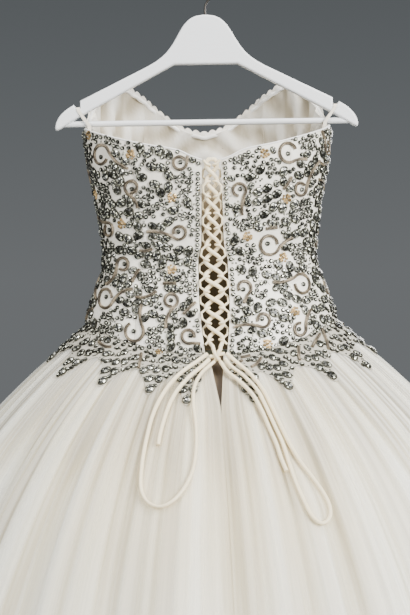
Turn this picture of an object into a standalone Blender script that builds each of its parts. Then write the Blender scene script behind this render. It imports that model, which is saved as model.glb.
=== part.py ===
# A strapless ball gown with a laced, beaded bodice and a gathered skirt, on a wooden hanger.
# Units are metres and +Z is up. The origin is the inner top of the hanger's hook, where a rail
# bears. The laced back faces -Y, the wearer's front faces +Y, and "down" is the distance below
# the origin. An angle runs round the body in degrees, from the centre back towards +X.

import math
import random

import bmesh
import bpy
from mathutils import Vector
from mathutils.geometry import delaunay_2d_cdt

# Cloth and seams
SEAM_GAP = 0.0003
BODICE_WALL = 0.0024
SKIRT_WALL = 0.0020
APPLIQUE_WALL = 0.0022
JOIN_GAP = 0.0006

# Bodice, columns: down, half width, depth to the back, depth to the front
BODICE_ROWS = [
    (0.165, 0.1810, 0.086, 0.082),
    (0.236, 0.1810, 0.090, 0.088),
    (0.285, 0.1765, 0.089, 0.086),
    (0.335, 0.1670, 0.084, 0.081),
    (0.380, 0.1600, 0.078, 0.077),
    (0.421, 0.1560, 0.074, 0.074),
    (0.445, 0.1590, 0.076, 0.077),
    (0.480, 0.1715, 0.086, 0.086),
    (0.518, 0.1840, 0.098, 0.097),
    (0.575, 0.1900, 0.112, 0.108),
]
HALF_WIDTH, BACK_DEPTH, FRONT_DEPTH = 1, 2, 3
SQUARE_TOP = 2.3
SQUARE_SEAM = 2.0
SQUARE_FROM = 0.380
SQUARE_TO = 0.520

# Top edge of the bodice, columns: angle, down
TOP_EDGE_ROWS = [
    (0, 0.295),
    (6, 0.288),
    (13, 0.277),
    (27, 0.2685),
    (47, 0.256),
    (65, 0.246),
    (84, 0.2374),
    (92, 0.2368),
    (97, 0.2330),
    (104, 0.218),
    (115, 0.196),
    (128, 0.176),
    (139, 0.169),
    (151, 0.184),
    (163, 0.211),
    (174, 0.235),
    (180, 0.241),
]

# Cups stand out from the front
CUP_SIDE = 0.082
CUP_DOWN = 0.238
CUP_OUT = 0.030
CUP_HALF_WIDTH = 0.050
CUP_HALF_HEIGHT = 0.055

# Seam between bodice and skirt dips at the centre back and front
SEAM_SIDE = 0.523
SEAM_DIP = 0.045
BODICE_SEAMS = (38.0, 92.0, 152.0)

# Half of the laced opening, columns: down, half width
OPENING_ROWS = [
    (0.295, 0.0139),
    (0.360, 0.0155),
    (0.410, 0.0165),
    (0.440, 0.0215),
    (0.490, 0.0220),
    (0.530, 0.0200),
    (0.568, 0.0155),
]

# Bodice surface points and its large stones
COLUMN_STEP = 0.017
PANEL_BANDS = 7
PANEL_WIDTH_DOWN = 0.40
BODICE_RADIUS = 0.100
STONE_STEP = 0.037
STONE_STRAY = 0.004
STONE_EDGE = 0.010
STONE_CLEAR = 0.0015
STONE_RISE = 0.0030
STONE_SIZES = ((0.0070, 0.0050), (0.0055, 0.0042))
STONE_SIDES = 6
SEED = 7

# Skirt, columns: drop below the seam, spread, gather depth, fold depth
SKIRT_ROWS = [
    (0.000, 0.000, 0.0025, 0.000),
    (0.030, 0.036, 0.0050, 0.001),
    (0.075, 0.090, 0.0080, 0.004),
    (0.150, 0.166, 0.0110, 0.009),
    (0.250, 0.243, 0.0130, 0.015),
    (0.400, 0.330, 0.0150, 0.022),
    (0.580, 0.412, 0.0170, 0.030),
    (0.780, 0.487, 0.0190, 0.036),
    (0.950, 0.545, 0.0200, 0.040),
    (1.097, 0.600, 0.0210, 0.045),
]
SPREAD, GATHER_DEPTH, FOLD_DEPTH = 1, 2, 3
HEM_DOWN = 1.620
SKIRT_UNDER = 0.0024
GATHERS = 72
GORES = 8
WIDE_FOLDS = 13
NARROW_FOLDS = 21
SLIT_HALF_WIDTH = 0.0105
SLIT_LENGTH = 0.075
SLIT_COLUMNS = 6

# Pointed lower edge of the applique on one quarter, columns: angle, drop
HEM_POINT_ROWS = [
    (5, 0.022),
    (10, 0.070),
    (15, 0.028),
    (20, 0.044),
    (22.5, 0.060),
    (25, 0.046),
    (30, 0.030),
    (35, 0.036),
    (40, 0.060),
    (45, 0.034),
    (50, 0.028),
    (55, 0.038),
    (60, 0.062),
    (65, 0.036),
    (70, 0.028),
    (75, 0.034),
    (80, 0.052),
    (85, 0.030),
    (90, 0.026),
]
APPLIQUE_BANDS = 3
APPLIQUE_CLEAR = 0.0008

# Lacing through fabric loops
LACE_RADIUS = 0.0030
LACE_ROWS = 12
LACE_TOP = 0.300
LACE_PITCH = 0.0225
LACE_PASS = 0.0035
LACE_STEPS = (0.0, 0.08, 0.29, 0.5, 0.71, 0.92)
# Where the laces turn in their loops, columns: down, side
LACE_SIDE_ROWS = [
    (0.295, 0.0075),
    (0.360, 0.0080),
    (0.410, 0.0090),
    (0.440, 0.0115),
    (0.490, 0.0125),
    (0.530, 0.0112),
    (0.560, 0.0090),
]
# A lace's start above its first loop, columns: side, rise
LACE_START_ROWS = [(0.0003, 0.0085), (0.0042, 0.0085)]
LACE_START_RISE = 0.0045
# Its end, from the last loop to the knot. Of the last loop, columns: side, out, drop
LACE_LEAVE_DROP = 0.003
LACE_LEAVE_ROW = (0.0080, 0.0065, 0.0060)
# Of the knot's middle, columns: side, y, rise
LACE_KNOT_ROWS = [(0.0054, 0.0008, 0.0120), (0.0048, 0.0000, 0.0087)]
LOOP_RADIUS = 0.0015
LOOP_BEND = 0.0055
LOOP_RISE = 0.0065

# Bow of the same lace, lying on the skirt
BOW_RADIUS = 0.0032
BOW_CLEAR = 0.0012
BOW_STEP = 0.016
KNOT_SIZE = (0.0110, 0.0075, 0.0085)
KNOT_DOWN = 0.569
KNOT_OUT = 0.0135
# Each strand starts, and a loop ends, at an offset from the knot's middle. Between, its route lies
# on the skirt, columns: angle, drop, lift.
BOW_STRANDS = {
    "bow_loop_left": (
        (-0.0134, -0.0020, 0.0022),
        [
            (-8.0, 0.010, 0.0070),
            (-13.5, 0.028, 0.0060),
            (-17.0, 0.052, 0.0050),
            (-18.7, 0.082, 0.0020),
            (-18.8, 0.114, 0.0005),
            (-18.4, 0.148, 0.0000),
            (-17.6, 0.176, 0.0000),
            (-15.9, 0.192, 0.0000),
            (-13.5, 0.198, 0.0000),
            (-11.2, 0.193, 0.0000),
            (-9.0, 0.178, 0.0000),
            (-7.2, 0.154, 0.0000),
            (-6.6, 0.126, 0.0005),
            (-6.9, 0.096, 0.0015),
            (-7.9, 0.068, 0.0040),
            (-8.0, 0.045, 0.0060),
            (-6.0, 0.026, 0.0050),
        ],
        (-0.0044, -0.0015, -0.0092),
    ),
    "bow_loop_right": (
        (0.0134, -0.0020, 0.0022),
        [
            (7.5, 0.013, 0.0070),
            (11.0, 0.030, 0.0060),
            (13.2, 0.052, 0.0050),
            (14.0, 0.075, 0.0030),
            (14.6, 0.098, 0.0010),
            (15.2, 0.122, 0.0005),
            (16.2, 0.146, 0.0000),
            (17.6, 0.167, 0.0000),
            (18.7, 0.186, 0.0000),
            (19.2, 0.204, 0.0000),
            (18.6, 0.219, 0.0000),
            (16.9, 0.226, 0.0000),
            (15.4, 0.216, 0.0000),
            (14.6, 0.196, 0.0000),
            (14.0, 0.172, 0.0000),
            (13.8, 0.148, 0.0000),
            (13.7, 0.122, 0.0005),
            (13.1, 0.098, 0.0010),
            (12.4, 0.075, 0.0040),
            (11.4, 0.052, 0.0060),
            (8.7, 0.032, 0.0060),
            (5.0, 0.017, 0.0060),
        ],
        (0.0114, -0.0045, -0.0056),
    ),
    "bow_tail_left": (
        (-0.0114, -0.0045, -0.0056),
        [
            (-6.2, 0.017, 0.0060),
            (-10.0, 0.031, 0.0060),
            (-13.0, 0.049, 0.0060),
            (-14.6, 0.068, 0.0040),
            (-15.3, 0.088, 0.0015),
            (-15.6, 0.108, 0.0005),
            (-15.5, 0.122, 0.0000),
        ],
        None,
    ),
    "bow_tail_right": (
        (0.0044, -0.0015, -0.0092),
        [
            (3.2, 0.024, 0.0045),
            (6.6, 0.038, 0.0050),
            (9.4, 0.056, 0.0060),
            (10.8, 0.078, 0.0040),
            (11.5, 0.100, 0.0010),
            (12.1, 0.122, 0.0005),
            (12.3, 0.142, 0.0000),
            (12.7, 0.158, 0.0000),
        ],
        None,
    ),
}

# Hanger
WOOD_TOP = 0.0705
WOOD_THICKNESS = 0.014
WOOD_ROUNDING = 0.0020
# Half of its outline, from the top over the shoulder to the middle, columns: side, down
HANGER_OUTLINE = [
    (0.0180, 0.0735),
    (0.0300, 0.0830),
    (0.0385, 0.0960),
    (0.0445, 0.1070),
    (0.0515, 0.1180),
    (0.0615, 0.1300),
    (0.0777, 0.1420),
    (0.1100, 0.1580),
    (0.1862, 0.1953),
    (0.1862, 0.2063),
    (0.1924, 0.2063),
    (0.1955, 0.2012),
    (0.2070, 0.2080),
    (0.2160, 0.2164),
    (0.2213, 0.2250),
    (0.2236, 0.2337),
    (0.2223, 0.2390),
    (0.2160, 0.2365),
    (0.2090, 0.2320),
    (0.1860, 0.2180),
]
HANGER_NOOK = 0.119
BAR_RADIUS = 0.0044
BAR_DOWN = 0.2292
BAR_HALF_LENGTH = 0.2115
WIRE_RADIUS = 0.0017
HOOK_RADIUS = 0.0237
# Hook's stem, columns: side, down
STEM_ROUTE = [
    (0.0000, 0.0702),
    (0.0000, 0.0625),
    (0.0010, 0.0565),
    (0.0040, 0.0505),
    (0.0090, 0.0455),
]
HOOK_FROM = -50
HOOK_TO = 205

# Ribbon loops that hang on the notches
RIBBON_WIDTH = 0.0052
RIBBON_THICKNESS = 0.0010
# Half of a loop, from the dress up to the middle over the notch, columns: side, y, down
RIBBON_ROUTE = [
    (0.1732, 0.0062, 0.2520),
    (0.1733, 0.0068, 0.2430),
    (0.1736, 0.0074, 0.2335),
    (0.1760, 0.0078, 0.2285),
    (0.1870, 0.0078, 0.2130),
    (0.1893, 0.0078, 0.2080),
    (0.1893, 0.0068, 0.2058),
    (0.1893, 0.0050, 0.2055),
]


def clear_scene():
    for item in list(bpy.data.objects):
        bpy.data.objects.remove(item, do_unlink=True)


clear_scene()
PARTS = bpy.data.collections.new("wedding_dress_on_hanger")
CUTTERS = bpy.data.collections.new("cutters")
bpy.context.scene.collection.children.link(PARTS)
bpy.context.scene.collection.children.link(CUTTERS)


def make_material(name, color, roughness, metallic=0.0):
    material = bpy.data.materials.new(name)
    material.use_nodes = True
    shader = material.node_tree.nodes["Principled BSDF"]
    shader.inputs["Base Color"].default_value = (*color, 1.0)
    shader.inputs["Roughness"].default_value = roughness
    shader.inputs["Metallic"].default_value = metallic
    material.diffuse_color = (*color, 1.0)
    return material


SATIN = make_material("satin", (0.83, 0.81, 0.76), 0.42)
BEADWORK = make_material("beadwork", (0.42, 0.42, 0.40), 0.30)
TULLE = make_material("tulle", (0.78, 0.75, 0.69), 0.80)
LACE = make_material("lacing", (0.86, 0.78, 0.66), 0.50)
RIBBON = make_material("ribbon", (0.86, 0.83, 0.78), 0.55)
WOOD = make_material("painted_wood", (0.80, 0.81, 0.81), 0.45)
BAR = make_material("painted_bar", (0.78, 0.79, 0.79), 0.45)
WIRE = make_material("hook_wire", (0.06, 0.055, 0.05), 0.35, 0.9)


def smooth_read(rows, key, column):
    """Read a column on a smooth curve that never overshoots the rows."""
    keys = [row[0] for row in rows]
    values = [row[column] for row in rows]
    if key <= keys[0]:
        return values[0]
    if key >= keys[-1]:
        return values[-1]
    steps = [(values[i + 1] - values[i]) / (keys[i + 1] - keys[i]) for i in range(len(rows) - 1)]
    slopes = [steps[0]]
    for before, after in zip(steps, steps[1:]):
        slopes.append(2 * before * after / (before + after) if before * after > 0 else 0.0)
    slopes.append(steps[-1])
    i = max(j for j in range(len(rows) - 1) if keys[j] <= key)
    width = keys[i + 1] - keys[i]
    t = (key - keys[i]) / width
    start = values[i] * (1 + 2 * t) + width * slopes[i] * t
    end = values[i + 1] * (3 - 2 * t) - width * slopes[i + 1] * (1 - t)
    return (1 - t) ** 2 * start + t ** 2 * end


def ease(value):
    t = min(max(value, 0.0), 1.0)
    return t * t * (3 - 2 * t)


def round_angle(angle):
    """The same place as 0 to 180 degrees from the centre back."""
    turned = abs(angle) % 360
    return min(turned, 360 - turned)


def seam_down(angle):
    return SEAM_SIDE + SEAM_DIP * math.cos(math.radians(angle)) ** 2


def top_down(angle):
    return smooth_read(TOP_EDGE_ROWS, round_angle(angle), 1)


def bodice_point(angle, down, out):
    half_width = smooth_read(BODICE_ROWS, down, HALF_WIDTH) + out
    back = smooth_read(BODICE_ROWS, down, BACK_DEPTH) + out
    front = smooth_read(BODICE_ROWS, down, FRONT_DEPTH) + out
    blend = ease((down - SQUARE_FROM) / (SQUARE_TO - SQUARE_FROM))
    power = 2 / (SQUARE_TOP + (SQUARE_SEAM - SQUARE_TOP) * blend)
    sine = math.sin(math.radians(angle))
    cosine = math.cos(math.radians(angle))
    x = half_width * math.copysign(abs(sine) ** power, sine)
    y = -(back if cosine > 0 else front) * math.copysign(abs(cosine) ** power, cosine)
    if cosine < 0:
        across = (abs(x) - CUP_SIDE) / CUP_HALF_WIDTH
        along = (down - CUP_DOWN) / CUP_HALF_HEIGHT
        y += CUP_OUT * math.exp(-across ** 2 - along ** 2) * ease(-cosine * 3)
    return Vector((x, y, -down))


def opening_angle(down):
    """Where the back panel's edge stands, at half the laced opening from the centre."""
    half_width = smooth_read(BODICE_ROWS, down, HALF_WIDTH)
    blend = ease((down - SQUARE_FROM) / (SQUARE_TO - SQUARE_FROM))
    square = SQUARE_TOP + (SQUARE_SEAM - SQUARE_TOP) * blend
    share = smooth_read(OPENING_ROWS, down, 1) / half_width
    return math.degrees(math.asin(share ** (square / 2)))


def fold_out(angle, drop):
    """How far the skirt's crests stand in from its full spread."""
    turn = math.radians(angle)
    wave = 0.5 + 0.25 * math.sin(WIDE_FOLDS * turn + 0.6) + 0.25 * math.sin(NARROW_FOLDS * turn + 2.1)
    return -SKIRT_UNDER - smooth_read(SKIRT_ROWS, drop, FOLD_DEPTH) * wave


def skirt_point(angle, drop, out):
    seam = seam_down(angle) + JOIN_GAP
    base = bodice_point(angle, seam, 0.0)
    reach = smooth_read(SKIRT_ROWS, drop, SPREAD) + out
    down = seam + drop / (HEM_DOWN - SEAM_SIDE) * (HEM_DOWN - seam)
    turn = math.radians(angle)
    return Vector((base.x + reach * math.sin(turn), base.y - reach * math.cos(turn), -down))


def add_mesh(name, points, faces, material):
    mesh = bpy.data.meshes.new(name)
    mesh.from_pydata(points, [], faces)
    shape = bmesh.new()
    shape.from_mesh(mesh)
    bmesh.ops.recalc_face_normals(shape, faces=shape.faces)
    shape.to_mesh(mesh)
    shape.free()
    mesh.materials.append(material)
    item = bpy.data.objects.new(name, mesh)
    PARTS.objects.link(item)
    return item


def add_wall(name, outer, inner, material):
    """A closed wall between two grids of points with the same rows and columns."""
    rows = len(outer)
    columns = len(outer[0])
    points = [point for row in outer for point in row] + [point for row in inner for point in row]
    shift = rows * columns
    faces = []
    for i in range(rows - 1):
        for j in range(columns - 1):
            a = i * columns + j
            b = a + columns
            faces.append((a, a + 1, b + 1, b))
            faces.append((a + shift, b + shift, b + 1 + shift, a + 1 + shift))
    border = [(0, j) for j in range(columns)]
    border += [(i, columns - 1) for i in range(1, rows)]
    border += [(rows - 1, j) for j in range(columns - 2, -1, -1)]
    border += [(i, 0) for i in range(rows - 2, 0, -1)]
    ring = [i * columns + j for i, j in border]
    for a, b in zip(ring, ring[1:] + ring[:1]):
        faces.append((a, a + shift, b + shift, b))
    item = add_mesh(name, points, faces, material)
    item.data.shade_smooth()
    return item


def add_tube(name, route, radius, detail, material):
    curve = bpy.data.curves.new(name, "CURVE")
    curve.dimensions = "3D"
    curve.bevel_depth = radius
    curve.bevel_resolution = detail
    curve.use_fill_caps = True
    spline = curve.splines.new("POLY")
    spline.points.add(len(route) - 1)
    for spot, place in zip(spline.points, route):
        spot.co = (*place, 1.0)
    curve.materials.append(material)
    item = bpy.data.objects.new(name, curve)
    PARTS.objects.link(item)
    return item


def smooth_route(route, step):
    """Points about a step apart on a smooth curve through the route's own points."""
    places = [Vector(place) for place in route]
    padded = [2 * places[0] - places[1]] + places + [2 * places[-1] - places[-2]]
    fine = []
    for before, start, end, after in zip(padded, padded[1:], padded[2:], padded[3:]):
        for count in range(20):
            t = count / 20
            fine.append(0.5 * (2 * start + (end - before) * t
                               + (2 * before - 5 * start + 4 * end - after) * t ** 2
                               + (3 * start - before - 3 * end + after) * t ** 3))
    fine.append(places[-1])
    lengths = [0.0]
    for start, end in zip(fine, fine[1:]):
        lengths.append(lengths[-1] + (end - start).length)
    count = max(2, round(lengths[-1] / step))
    points = []
    i = 0
    for number in range(count + 1):
        goal = lengths[-1] * number / count
        while i < len(fine) - 2 and lengths[i + 1] < goal:
            i += 1
        share = (goal - lengths[i]) / (lengths[i + 1] - lengths[i])
        points.append(fine[i].lerp(fine[i + 1], min(max(share, 0.0), 1.0)))
    return points


# Bodice panels
def triangulate(points, edges, outline_count):
    loop = list(range(outline_count))
    result = delaunay_2d_cdt(points, edges, [loop], 1, 1e-7)
    origin = result[3]
    return [tuple(origin[corner][0] for corner in face) for face in result[2]]


def place_stones(width, height, dice):
    """Centres, sizes and turns of the large stones on a panel, on a loose triangular grid."""
    stones = []
    row_step = STONE_STEP * math.sqrt(3) / 2
    for row in range(int(height / row_step) + 1):
        for column in range(int(width / STONE_STEP) + 2):
            s = (column + 0.5 * (row % 2)) * STONE_STEP + dice.uniform(-STONE_STRAY, STONE_STRAY)
            t = (row + 0.5) * row_step + dice.uniform(-STONE_STRAY, STONE_STRAY)
            size = STONE_SIZES[dice.randrange(2)]
            turn = dice.uniform(0, math.pi)
            if STONE_EDGE < s < width - STONE_EDGE and STONE_EDGE < t < height - STONE_EDGE:
                stones.append((s, t, size, turn))
    return stones


def add_panel(name, low_angle, high_angle, dice):
    """One bodice panel: stones raised from its outer points, over a plain inside."""
    middle = (low_angle(0.5) + high_angle) / 2
    height = seam_down(middle) - top_down(middle)
    width = sum(
        (bodice_point(middle + side * (high_angle - middle), PANEL_WIDTH_DOWN, 0.0)
         - bodice_point(middle, PANEL_WIDTH_DOWN, 0.0)).length
        for side in (-1, 1)
    )
    columns = max(2, round(width / COLUMN_STEP))
    rows = PANEL_BANDS

    def place(spot, out):
        u = spot.x / width
        v = spot.y / height
        low = low_angle(v)
        angle = low + (high_angle - low) * u
        top = top_down(angle)
        return bodice_point(angle, top + (seam_down(angle) - top) * v, out)

    grid = [
        [Vector((width * j / columns, height * i / rows)) for j in range(columns + 1)]
        for i in range(rows + 1)
    ]
    outline = grid[0][:] + [row[-1] for row in grid[1:]] + grid[-1][-2::-1]
    outline += [row[0] for row in grid[-2:0:-1]]
    inside = [spot for row in grid[1:-1] for spot in row[1:-1]]
    stones = place_stones(width, height, dice)
    outer = outline + [
        spot for spot in inside
        if all((spot - Vector((s, t))).length > size[0] + STONE_CLEAR for s, t, size, turn in stones)
    ]
    rises = [0.0] * len(outer)
    edges = []
    for s, t, size, turn in stones:
        first = len(outer)
        for corner in range(STONE_SIDES):
            around = 2 * math.pi * corner / STONE_SIDES
            across = size[0] * math.cos(around)
            along = size[1] * math.sin(around)
            outer.append(Vector((
                s + across * math.cos(turn) - along * math.sin(turn),
                t + across * math.sin(turn) + along * math.cos(turn),
            )))
            rises.append(0.0)
            edges.append((first + corner, first + (corner + 1) % STONE_SIDES))
        outer.append(Vector((s, t)))
        rises.append(STONE_RISE)
    inner = outline + inside
    shift = len(outer)
    points = [place(spot, rise) for spot, rise in zip(outer, rises)]
    points += [place(spot, -BODICE_WALL) for spot in inner]
    faces = triangulate(outer, edges, len(outline))
    faces += [
        tuple(corner + shift for corner in reversed(face))
        for face in triangulate(inner, [], len(outline))
    ]
    ring = list(range(len(outline)))
    for a, b in zip(ring, ring[1:] + ring[:1]):
        faces.append((a, a + shift, b + shift, b))
    return add_mesh(name, points, faces, BEADWORK)


def mirror_across(item, name):
    """The same piece on the other side of the dress."""
    mesh = item.data.copy()
    for spot in mesh.vertices:
        spot.co.x = -spot.co.x
    mesh.flip_normals()
    copy = bpy.data.objects.new(name, mesh)
    PARTS.objects.link(copy)
    return copy


def add_bodice():
    dice = random.Random(SEED)
    seam_turn = math.degrees(SEAM_GAP / 2 / BODICE_RADIUS)
    back_seam, side_seam, front_seam = BODICE_SEAMS
    edge_top = top_down(opening_angle(top_down(0)))
    edge_bottom = seam_down(0)

    def back_edge(v):
        return opening_angle(edge_top + (edge_bottom - edge_top) * v)

    panels = [
        ("back", back_edge, back_seam - seam_turn),
        ("side", lambda v: back_seam + seam_turn, side_seam - seam_turn),
        ("front_side", lambda v: side_seam + seam_turn, front_seam - seam_turn),
    ]
    for name, low, high in panels:
        right = add_panel(name + "_right", low, high, dice)
        mirror_across(right, name + "_left")
    add_panel("front_centre", lambda v: front_seam + seam_turn, 360 - front_seam - seam_turn, dice)


# Skirt gores and the applique that lies on them
def turn_by(angle, drop, distance):
    """Degrees round the skirt that cover a distance there."""
    probe = 0.2
    span = (skirt_point(angle + probe, drop, 0.0) - skirt_point(angle, drop, 0.0)).length
    return probe * distance / span


def slit_shift(column, drop):
    """How far a column beside the centre back moves aside to open the slit."""
    if drop >= SLIT_LENGTH or column > SLIT_COLUMNS:
        return 0.0
    return SLIT_HALF_WIDTH * (1 - drop / SLIT_LENGTH) * (1 - column / SLIT_COLUMNS)


def add_gore(number, depths):
    columns = 2 * GATHERS // GORES
    first = number * columns
    pitch = 180 / GATHERS
    outer = []
    inner = []
    for row in SKIRT_ROWS:
        drop = row[0]
        outer_row = []
        inner_row = []
        for step in range(columns + 1):
            column = first + step
            angle = column * pitch
            if step == 0:
                angle += turn_by(angle, drop, SEAM_GAP / 2)
            if step == columns:
                angle -= turn_by(angle, drop, SEAM_GAP / 2)
            out = fold_out(column * pitch, drop)
            if column % 2:
                out -= row[GATHER_DEPTH] * depths[column]
            right = slit_shift(column, drop)
            left = slit_shift(2 * GATHERS - column, drop)
            aside = Vector((right - left, 0.0, 0.0))
            outer_row.append(skirt_point(angle, drop, out) + aside)
            inner_row.append(skirt_point(angle, drop, out - SKIRT_WALL) + aside)
        outer.append(outer_row)
        inner.append(inner_row)
    add_wall(f"gore_{number + 1}", outer, inner, TULLE)


def add_skirt():
    dice = random.Random(SEED)
    depths = [dice.uniform(0.6, 1.15) for column in range(2 * GATHERS)]
    for number in range(GORES):
        add_gore(number, depths)


def add_applique(name, side, front):
    outer = [[] for band in range(APPLIQUE_BANDS + 1)]
    inner = [[] for band in range(APPLIQUE_BANDS + 1)]
    for angle, depth in HEM_POINT_ROWS:
        place = 180 - angle if front else angle
        for band in range(APPLIQUE_BANDS + 1):
            drop = depth * band / APPLIQUE_BANDS
            seam_side = turn_by(place, drop, SEAM_GAP / 2) if angle == 90 else 0.0
            turned = place + (seam_side if front else -seam_side)
            out = fold_out(side * place, drop) + APPLIQUE_CLEAR
            outer[band].append(skirt_point(side * turned, drop, out + APPLIQUE_WALL))
            inner[band].append(skirt_point(side * turned, drop, out))
    add_wall(name, outer, inner, BEADWORK)


# Lacing, loops and bow
def lace_plane(down):
    """Depth of the middle of the back panels' edge."""
    return -smooth_read(BODICE_ROWS, down, BACK_DEPTH) + BODICE_WALL / 2


def edge_side(down):
    return smooth_read(OPENING_ROWS, down, 1)


def lace_side(down):
    return smooth_read(LACE_SIDE_ROWS, down, 1)


def add_loop_tape(name, side):
    """A cord that runs down the panel's edge and out round the lace at each row."""
    route = []
    for row in range(LACE_ROWS):
        down = LACE_TOP + row * LACE_PITCH
        depth = lace_plane(down)
        turn = lace_side(down)
        way = -1 if row % 2 else 1
        bend = [(edge_side(down - LOOP_RISE) - LOOP_RADIUS - SEAM_GAP, -LOOP_BEND * way, LOOP_RISE)]
        for angle in (-90, -45, 0, 45, 90):
            around = math.radians(angle) * way
            bend.append((turn - LOOP_BEND * math.cos(around), LOOP_BEND * math.sin(around), 0.0))
        bend.append((edge_side(down + LOOP_RISE) - LOOP_RADIUS - SEAM_GAP, LOOP_BEND * way, -LOOP_RISE))
        route += [(side * x, depth + y, rise - down) for x, y, rise in bend]
    return add_tube(name, route, LOOP_RADIUS, 0, LACE)


def add_lacing(name, side):
    knot_depth = lace_plane(seam_down(0)) - KNOT_OUT
    start_depth = lace_plane(LACE_TOP)
    route = [(side * x, start_depth, rise - LACE_TOP) for x, rise in LACE_START_ROWS]
    route.append((side * lace_side(LACE_TOP), start_depth, LACE_START_RISE - LACE_TOP))
    for interval in range(LACE_ROWS - 1):
        first_side = side if interval % 2 == 0 else -side
        layer = 1 if first_side > 0 else -1
        for t in LACE_STEPS:
            down = LACE_TOP + (interval + t) * LACE_PITCH
            x = first_side * lace_side(down) * math.cos(math.pi * t)
            y = lace_plane(down) + layer * LACE_PASS * math.sin(math.pi * t) ** 2
            route.append((x, y, -down))
    last_side = side if (LACE_ROWS - 1) % 2 == 0 else -side
    last = LACE_TOP + (LACE_ROWS - 1) * LACE_PITCH
    depth = lace_plane(last)
    aside, out, drop = LACE_LEAVE_ROW
    route.append((last_side * lace_side(last), depth, -last))
    route.append((last_side * lace_side(last), depth, -last - LACE_LEAVE_DROP))
    route.append((last_side * aside, depth - out, -last - drop))
    route += [(last_side * x, knot_depth + y, rise - KNOT_DOWN) for x, y, rise in LACE_KNOT_ROWS]
    return add_tube(name, route, LACE_RADIUS, 1, LACE)


def add_knot():
    shape = bmesh.new()
    bmesh.ops.create_icosphere(shape, subdivisions=2, radius=1.0)
    for spot in shape.verts:
        spot.co = Vector([spot.co[i] * KNOT_SIZE[i] for i in range(3)])
    mesh = bpy.data.meshes.new("bow_knot")
    shape.to_mesh(mesh)
    shape.free()
    mesh.materials.append(LACE)
    item = bpy.data.objects.new("bow_knot", mesh)
    item.location = (0.0, lace_plane(seam_down(0)) - KNOT_OUT, -KNOT_DOWN)
    PARTS.objects.link(item)


def add_bow_strand(name):
    start, rows, end = BOW_STRANDS[name]
    knot = Vector((0.0, lace_plane(seam_down(0)) - KNOT_OUT, -KNOT_DOWN))
    route = [knot + Vector(start)]
    for angle, drop, lift in rows:
        out = fold_out(angle, drop) + BOW_CLEAR + BOW_RADIUS + lift
        route.append(skirt_point(angle, drop, out))
    if end:
        route.append(knot + Vector(end))
    add_tube(name, smooth_route(route, BOW_STEP), BOW_RADIUS, 2, LACE)


# Hanger and its ribbons
def add_hanger_body():
    half = [Vector((side, -down)) for side, down in HANGER_OUTLINE]
    outline = [Vector((0.0, -WOOD_TOP))] + half + [Vector((0.0, -HANGER_NOOK))]
    outline += [Vector((-spot.x, spot.y)) for spot in reversed(half)]
    curve = bpy.data.curves.new("hanger_outline", "CURVE")
    curve.dimensions = "2D"
    curve.fill_mode = "BOTH"
    curve.extrude = WOOD_THICKNESS / 2
    spline = curve.splines.new("POLY")
    spline.points.add(len(outline) - 1)
    for spot, place in zip(spline.points, outline):
        spot.co = (place.x, place.y, 0.0, 1.0)
    spline.use_cyclic_u = True
    flat = bpy.data.objects.new("hanger_outline", curve)
    PARTS.objects.link(flat)
    bpy.context.view_layer.update()
    graph = bpy.context.evaluated_depsgraph_get()
    mesh = bpy.data.meshes.new_from_object(flat.evaluated_get(graph))
    bpy.data.objects.remove(flat, do_unlink=True)
    shape = bmesh.new()
    shape.from_mesh(mesh)
    bmesh.ops.remove_doubles(shape, verts=shape.verts, dist=1e-6)
    bmesh.ops.dissolve_limit(shape, angle_limit=math.radians(1), verts=shape.verts, edges=shape.edges)
    for spot in shape.verts:
        spot.co = Vector((spot.co.x, -spot.co.z, spot.co.y))
    bmesh.ops.recalc_face_normals(shape, faces=shape.faces)
    weight = shape.edges.layers.float.new("bevel_weight_edge")
    for edge in shape.edges:
        sides = [abs(face.normal.y) > 0.9 for face in edge.link_faces]
        edge[weight] = 1.0 if sides[0] != sides[1] else 0.0
    shape.to_mesh(mesh)
    shape.free()
    mesh.name = "hanger_body"
    mesh.materials.clear()
    mesh.materials.append(WOOD)
    item = bpy.data.objects.new("hanger_body", mesh)
    PARTS.objects.link(item)
    rounding = item.modifiers.new("rounding", "BEVEL")
    rounding.width = WOOD_ROUNDING
    rounding.segments = 1
    rounding.limit_method = "WEIGHT"
    rounding.use_clamp_overlap = False
    bore = add_bar("bar_bore", BAR_RADIUS + SEAM_GAP, BAR_HALF_LENGTH + SEAM_GAP)
    PARTS.objects.unlink(bore)
    CUTTERS.objects.link(bore)
    bore.hide_render = True
    bore.display_type = "WIRE"
    cut = item.modifiers.new("bar_bore", "BOOLEAN")
    cut.object = bore
    cut.operation = "DIFFERENCE"


def add_bar(name, radius, half_length):
    shape = bmesh.new()
    bmesh.ops.create_cone(shape, cap_ends=True, segments=16, radius1=radius, radius2=radius,
                          depth=2 * half_length)
    mesh = bpy.data.meshes.new(name)
    shape.to_mesh(mesh)
    shape.free()
    mesh.materials.append(BAR)
    item = bpy.data.objects.new(name, mesh)
    item.rotation_euler = (0.0, math.radians(90), 0.0)
    item.location = (0.0, 0.0, -BAR_DOWN)
    PARTS.objects.link(item)
    return item


def add_hook():
    route = [(side, 0.0, -down) for side, down in STEM_ROUTE]
    centre = WIRE_RADIUS - HOOK_RADIUS
    for angle in range(HOOK_FROM, HOOK_TO + 1, 15):
        around = math.radians(angle)
        route.append((HOOK_RADIUS * math.cos(around), 0.0, centre + HOOK_RADIUS * math.sin(around)))
    add_tube("hanger_hook", route, WIRE_RADIUS, 2, WIRE)


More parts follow.
